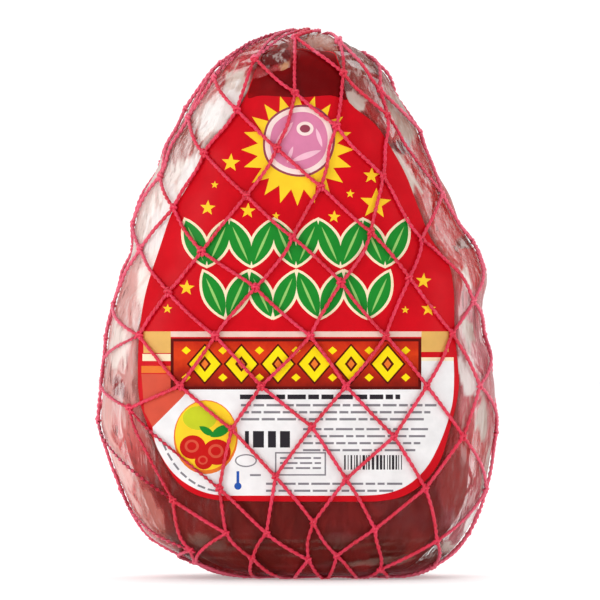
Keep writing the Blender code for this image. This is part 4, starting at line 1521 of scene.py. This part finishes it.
def build_clip(material):
    """A crimped band: a bent strip whose ends meet in a seam, pinched in two lines."""
    centre, along, up = tail_frame(*CLIP_PLACE)
    steps, rows = 96, 13
    half, inner, wall = 1.7, 2.75, 0.95
    points, section = [], []
    for k in range(rows):
        t = 2 * k / (rows - 1) - 1
        pinch = 0.28 * (math.exp(-((t - 0.38) / 0.16) ** 2) + math.exp(-((t + 0.38) / 0.16) ** 2))
        section.append((inner + wall - pinch - 0.35 * abs(t) ** 8, t * half))
    section += [(inner, half - 0.1), (inner - 0.05, 0.0), (inner, 0.1 - half)]
    for i in range(steps):
        angle = math.tau * i / steps
        seam = math.exp(-((((angle + math.pi / 2) % math.tau) - math.pi) / 0.09) ** 2)
        squeeze = 1 - 0.10 * math.cos(angle) ** 2
        for radius, offset in section:
            outer_side = radius > inner + 0.2
            radius_here = radius * (1.0 if outer_side else 0.995) * squeeze
            radius_here -= 0.45 * seam if outer_side else 0.0
            out = RIGHT * math.cos(angle) * 1.04 + up * math.sin(angle)
            points.append(centre + out * radius_here + along * offset)
    mesh = mesh_of("clip", points, ring_faces(0, steps, len(section), closed=True))
    add_piece("clip", mesh, [material], "net_clip")


# The room, lights and camera

# The camera sees what the photograph shows: it looks at its middle and is as wide as it.
CAMERA_DISTANCE = VIEW_DISTANCE * MM
CAMERA_WIDTH = 2 * PHOTO_MIDDLE * PIXEL * MM
CAMERA_X = ((PHOTO_MIDDLE - PHOTO_AXIS_X) * PIXEL + SHIFT[0]) * MM
CAMERA_HEIGHT = (PHOTO_FLOOR_Y - PHOTO_MIDDLE) * PIXEL * MM

# The floor, the brightness of each lamp, and that of the room behind and before the object.
FLOOR_RADIUS = 6.0
KEY_RADIANCE, RIM_RADIANCE, TOP_RADIANCE, SKY_RADIANCE = 9.0, 7.0, 2.4, 0.8
BACK_LIGHT, FRONT_LIGHT = 1.12, 0.50


def build_stage(material):
    """A pale round floor."""
    rim = np.column_stack([oval(0.0, 0.0, 1.0, 1.0, 96), np.zeros(96)]) * FLOOR_RADIUS / MM
    mesh = mesh_of("floor", rim, [tuple(range(96))], smooth=False)
    mesh.materials.append(material)
    floor = in_scene("floor", mesh)


def add_softbox(name, place, aim, size, radiance):
    """A soft rectangular light of even brightness, aimed at a point."""
    light = bpy.data.lights.new(name, "AREA")
    light.shape = "RECTANGLE"
    light.size, light.size_y = size
    light.energy = radiance * math.pi * size[0] * size[1]
    lamp = in_scene(name, light)
    lamp.location = place
    lamp.rotation_euler = (Vector(aim) - Vector(place)).to_track_quat("-Z", "Y").to_euler()


def light_scene():
    """A white room, dimmer on the side of the camera, with two strip lights and one overhead."""
    scene = bpy.context.scene
    world = bpy.data.worlds.new("studio")
    world.use_nodes = True
    tree = world.node_tree
    direction = tree.nodes.new("ShaderNodeTexCoord")
    split = tree.nodes.new("ShaderNodeSeparateXYZ")
    tree.links.new(direction.outputs["Generated"], split.inputs[0])
    fade = tree.nodes.new("ShaderNodeMapRange")
    fade.interpolation_type = "SMOOTHSTEP"
    for key, value in (("From Min", -0.6), ("From Max", 0.7),
                       ("To Min", FRONT_LIGHT), ("To Max", BACK_LIGHT)):
        fade.inputs[key].default_value = value
    tree.links.new(split.outputs["Y"], fade.inputs["Value"])
    tree.nodes["Background"].inputs["Color"].default_value = (1.0, 1.0, 1.0, 1.0)
    tree.links.new(fade.outputs["Result"], tree.nodes["Background"].inputs["Strength"])
    scene.world = world
    aim = (0.0, 0.0, 0.11)
    add_softbox("key", (-1.35, -0.95, 0.45), aim, (0.30, 0.9), KEY_RADIANCE)
    add_softbox("rim", (1.40, -0.85, 0.35), aim, (0.22, 0.9), RIM_RADIANCE)
    add_softbox("top", (-0.3, -1.5, 1.5), aim, (1.0, 0.5), TOP_RADIANCE)
    add_softbox("sky", (0.0, 0.9, 2.2), (0.0, 0.6, 0.0), (2.4, 2.0), SKY_RADIANCE)
    scene.view_settings.view_transform = "Standard"


def add_camera():
    """A level camera in front."""
    camera = bpy.data.cameras.new("camera")
    camera.sensor_width = 36.0
    camera.lens = camera.sensor_width * CAMERA_DISTANCE / CAMERA_WIDTH
    camera.clip_end = 20.0
    holder = in_scene("camera", camera)
    holder.location = (CAMERA_X, -CAMERA_DISTANCE, CAMERA_HEIGHT)
    holder.rotation_euler = (math.pi / 2, 0.0, 0.0)
    bpy.context.scene.camera = holder


def main():
    add_camera()
    light_scene()
    build_stage(floor_material())
    build_ham(ham_material())
    build_film(film_material())
    build_label()
    places = knot_places()
    last = max(i for i, _ in places)
    red_twine = twine_material()
    build_strands(places, last, red_twine)
    build_knots(places, last, red_twine)
    build_tail(places, last, red_twine)
    build_base_end(places, red_twine)
    build_clip(metal_material())


main()
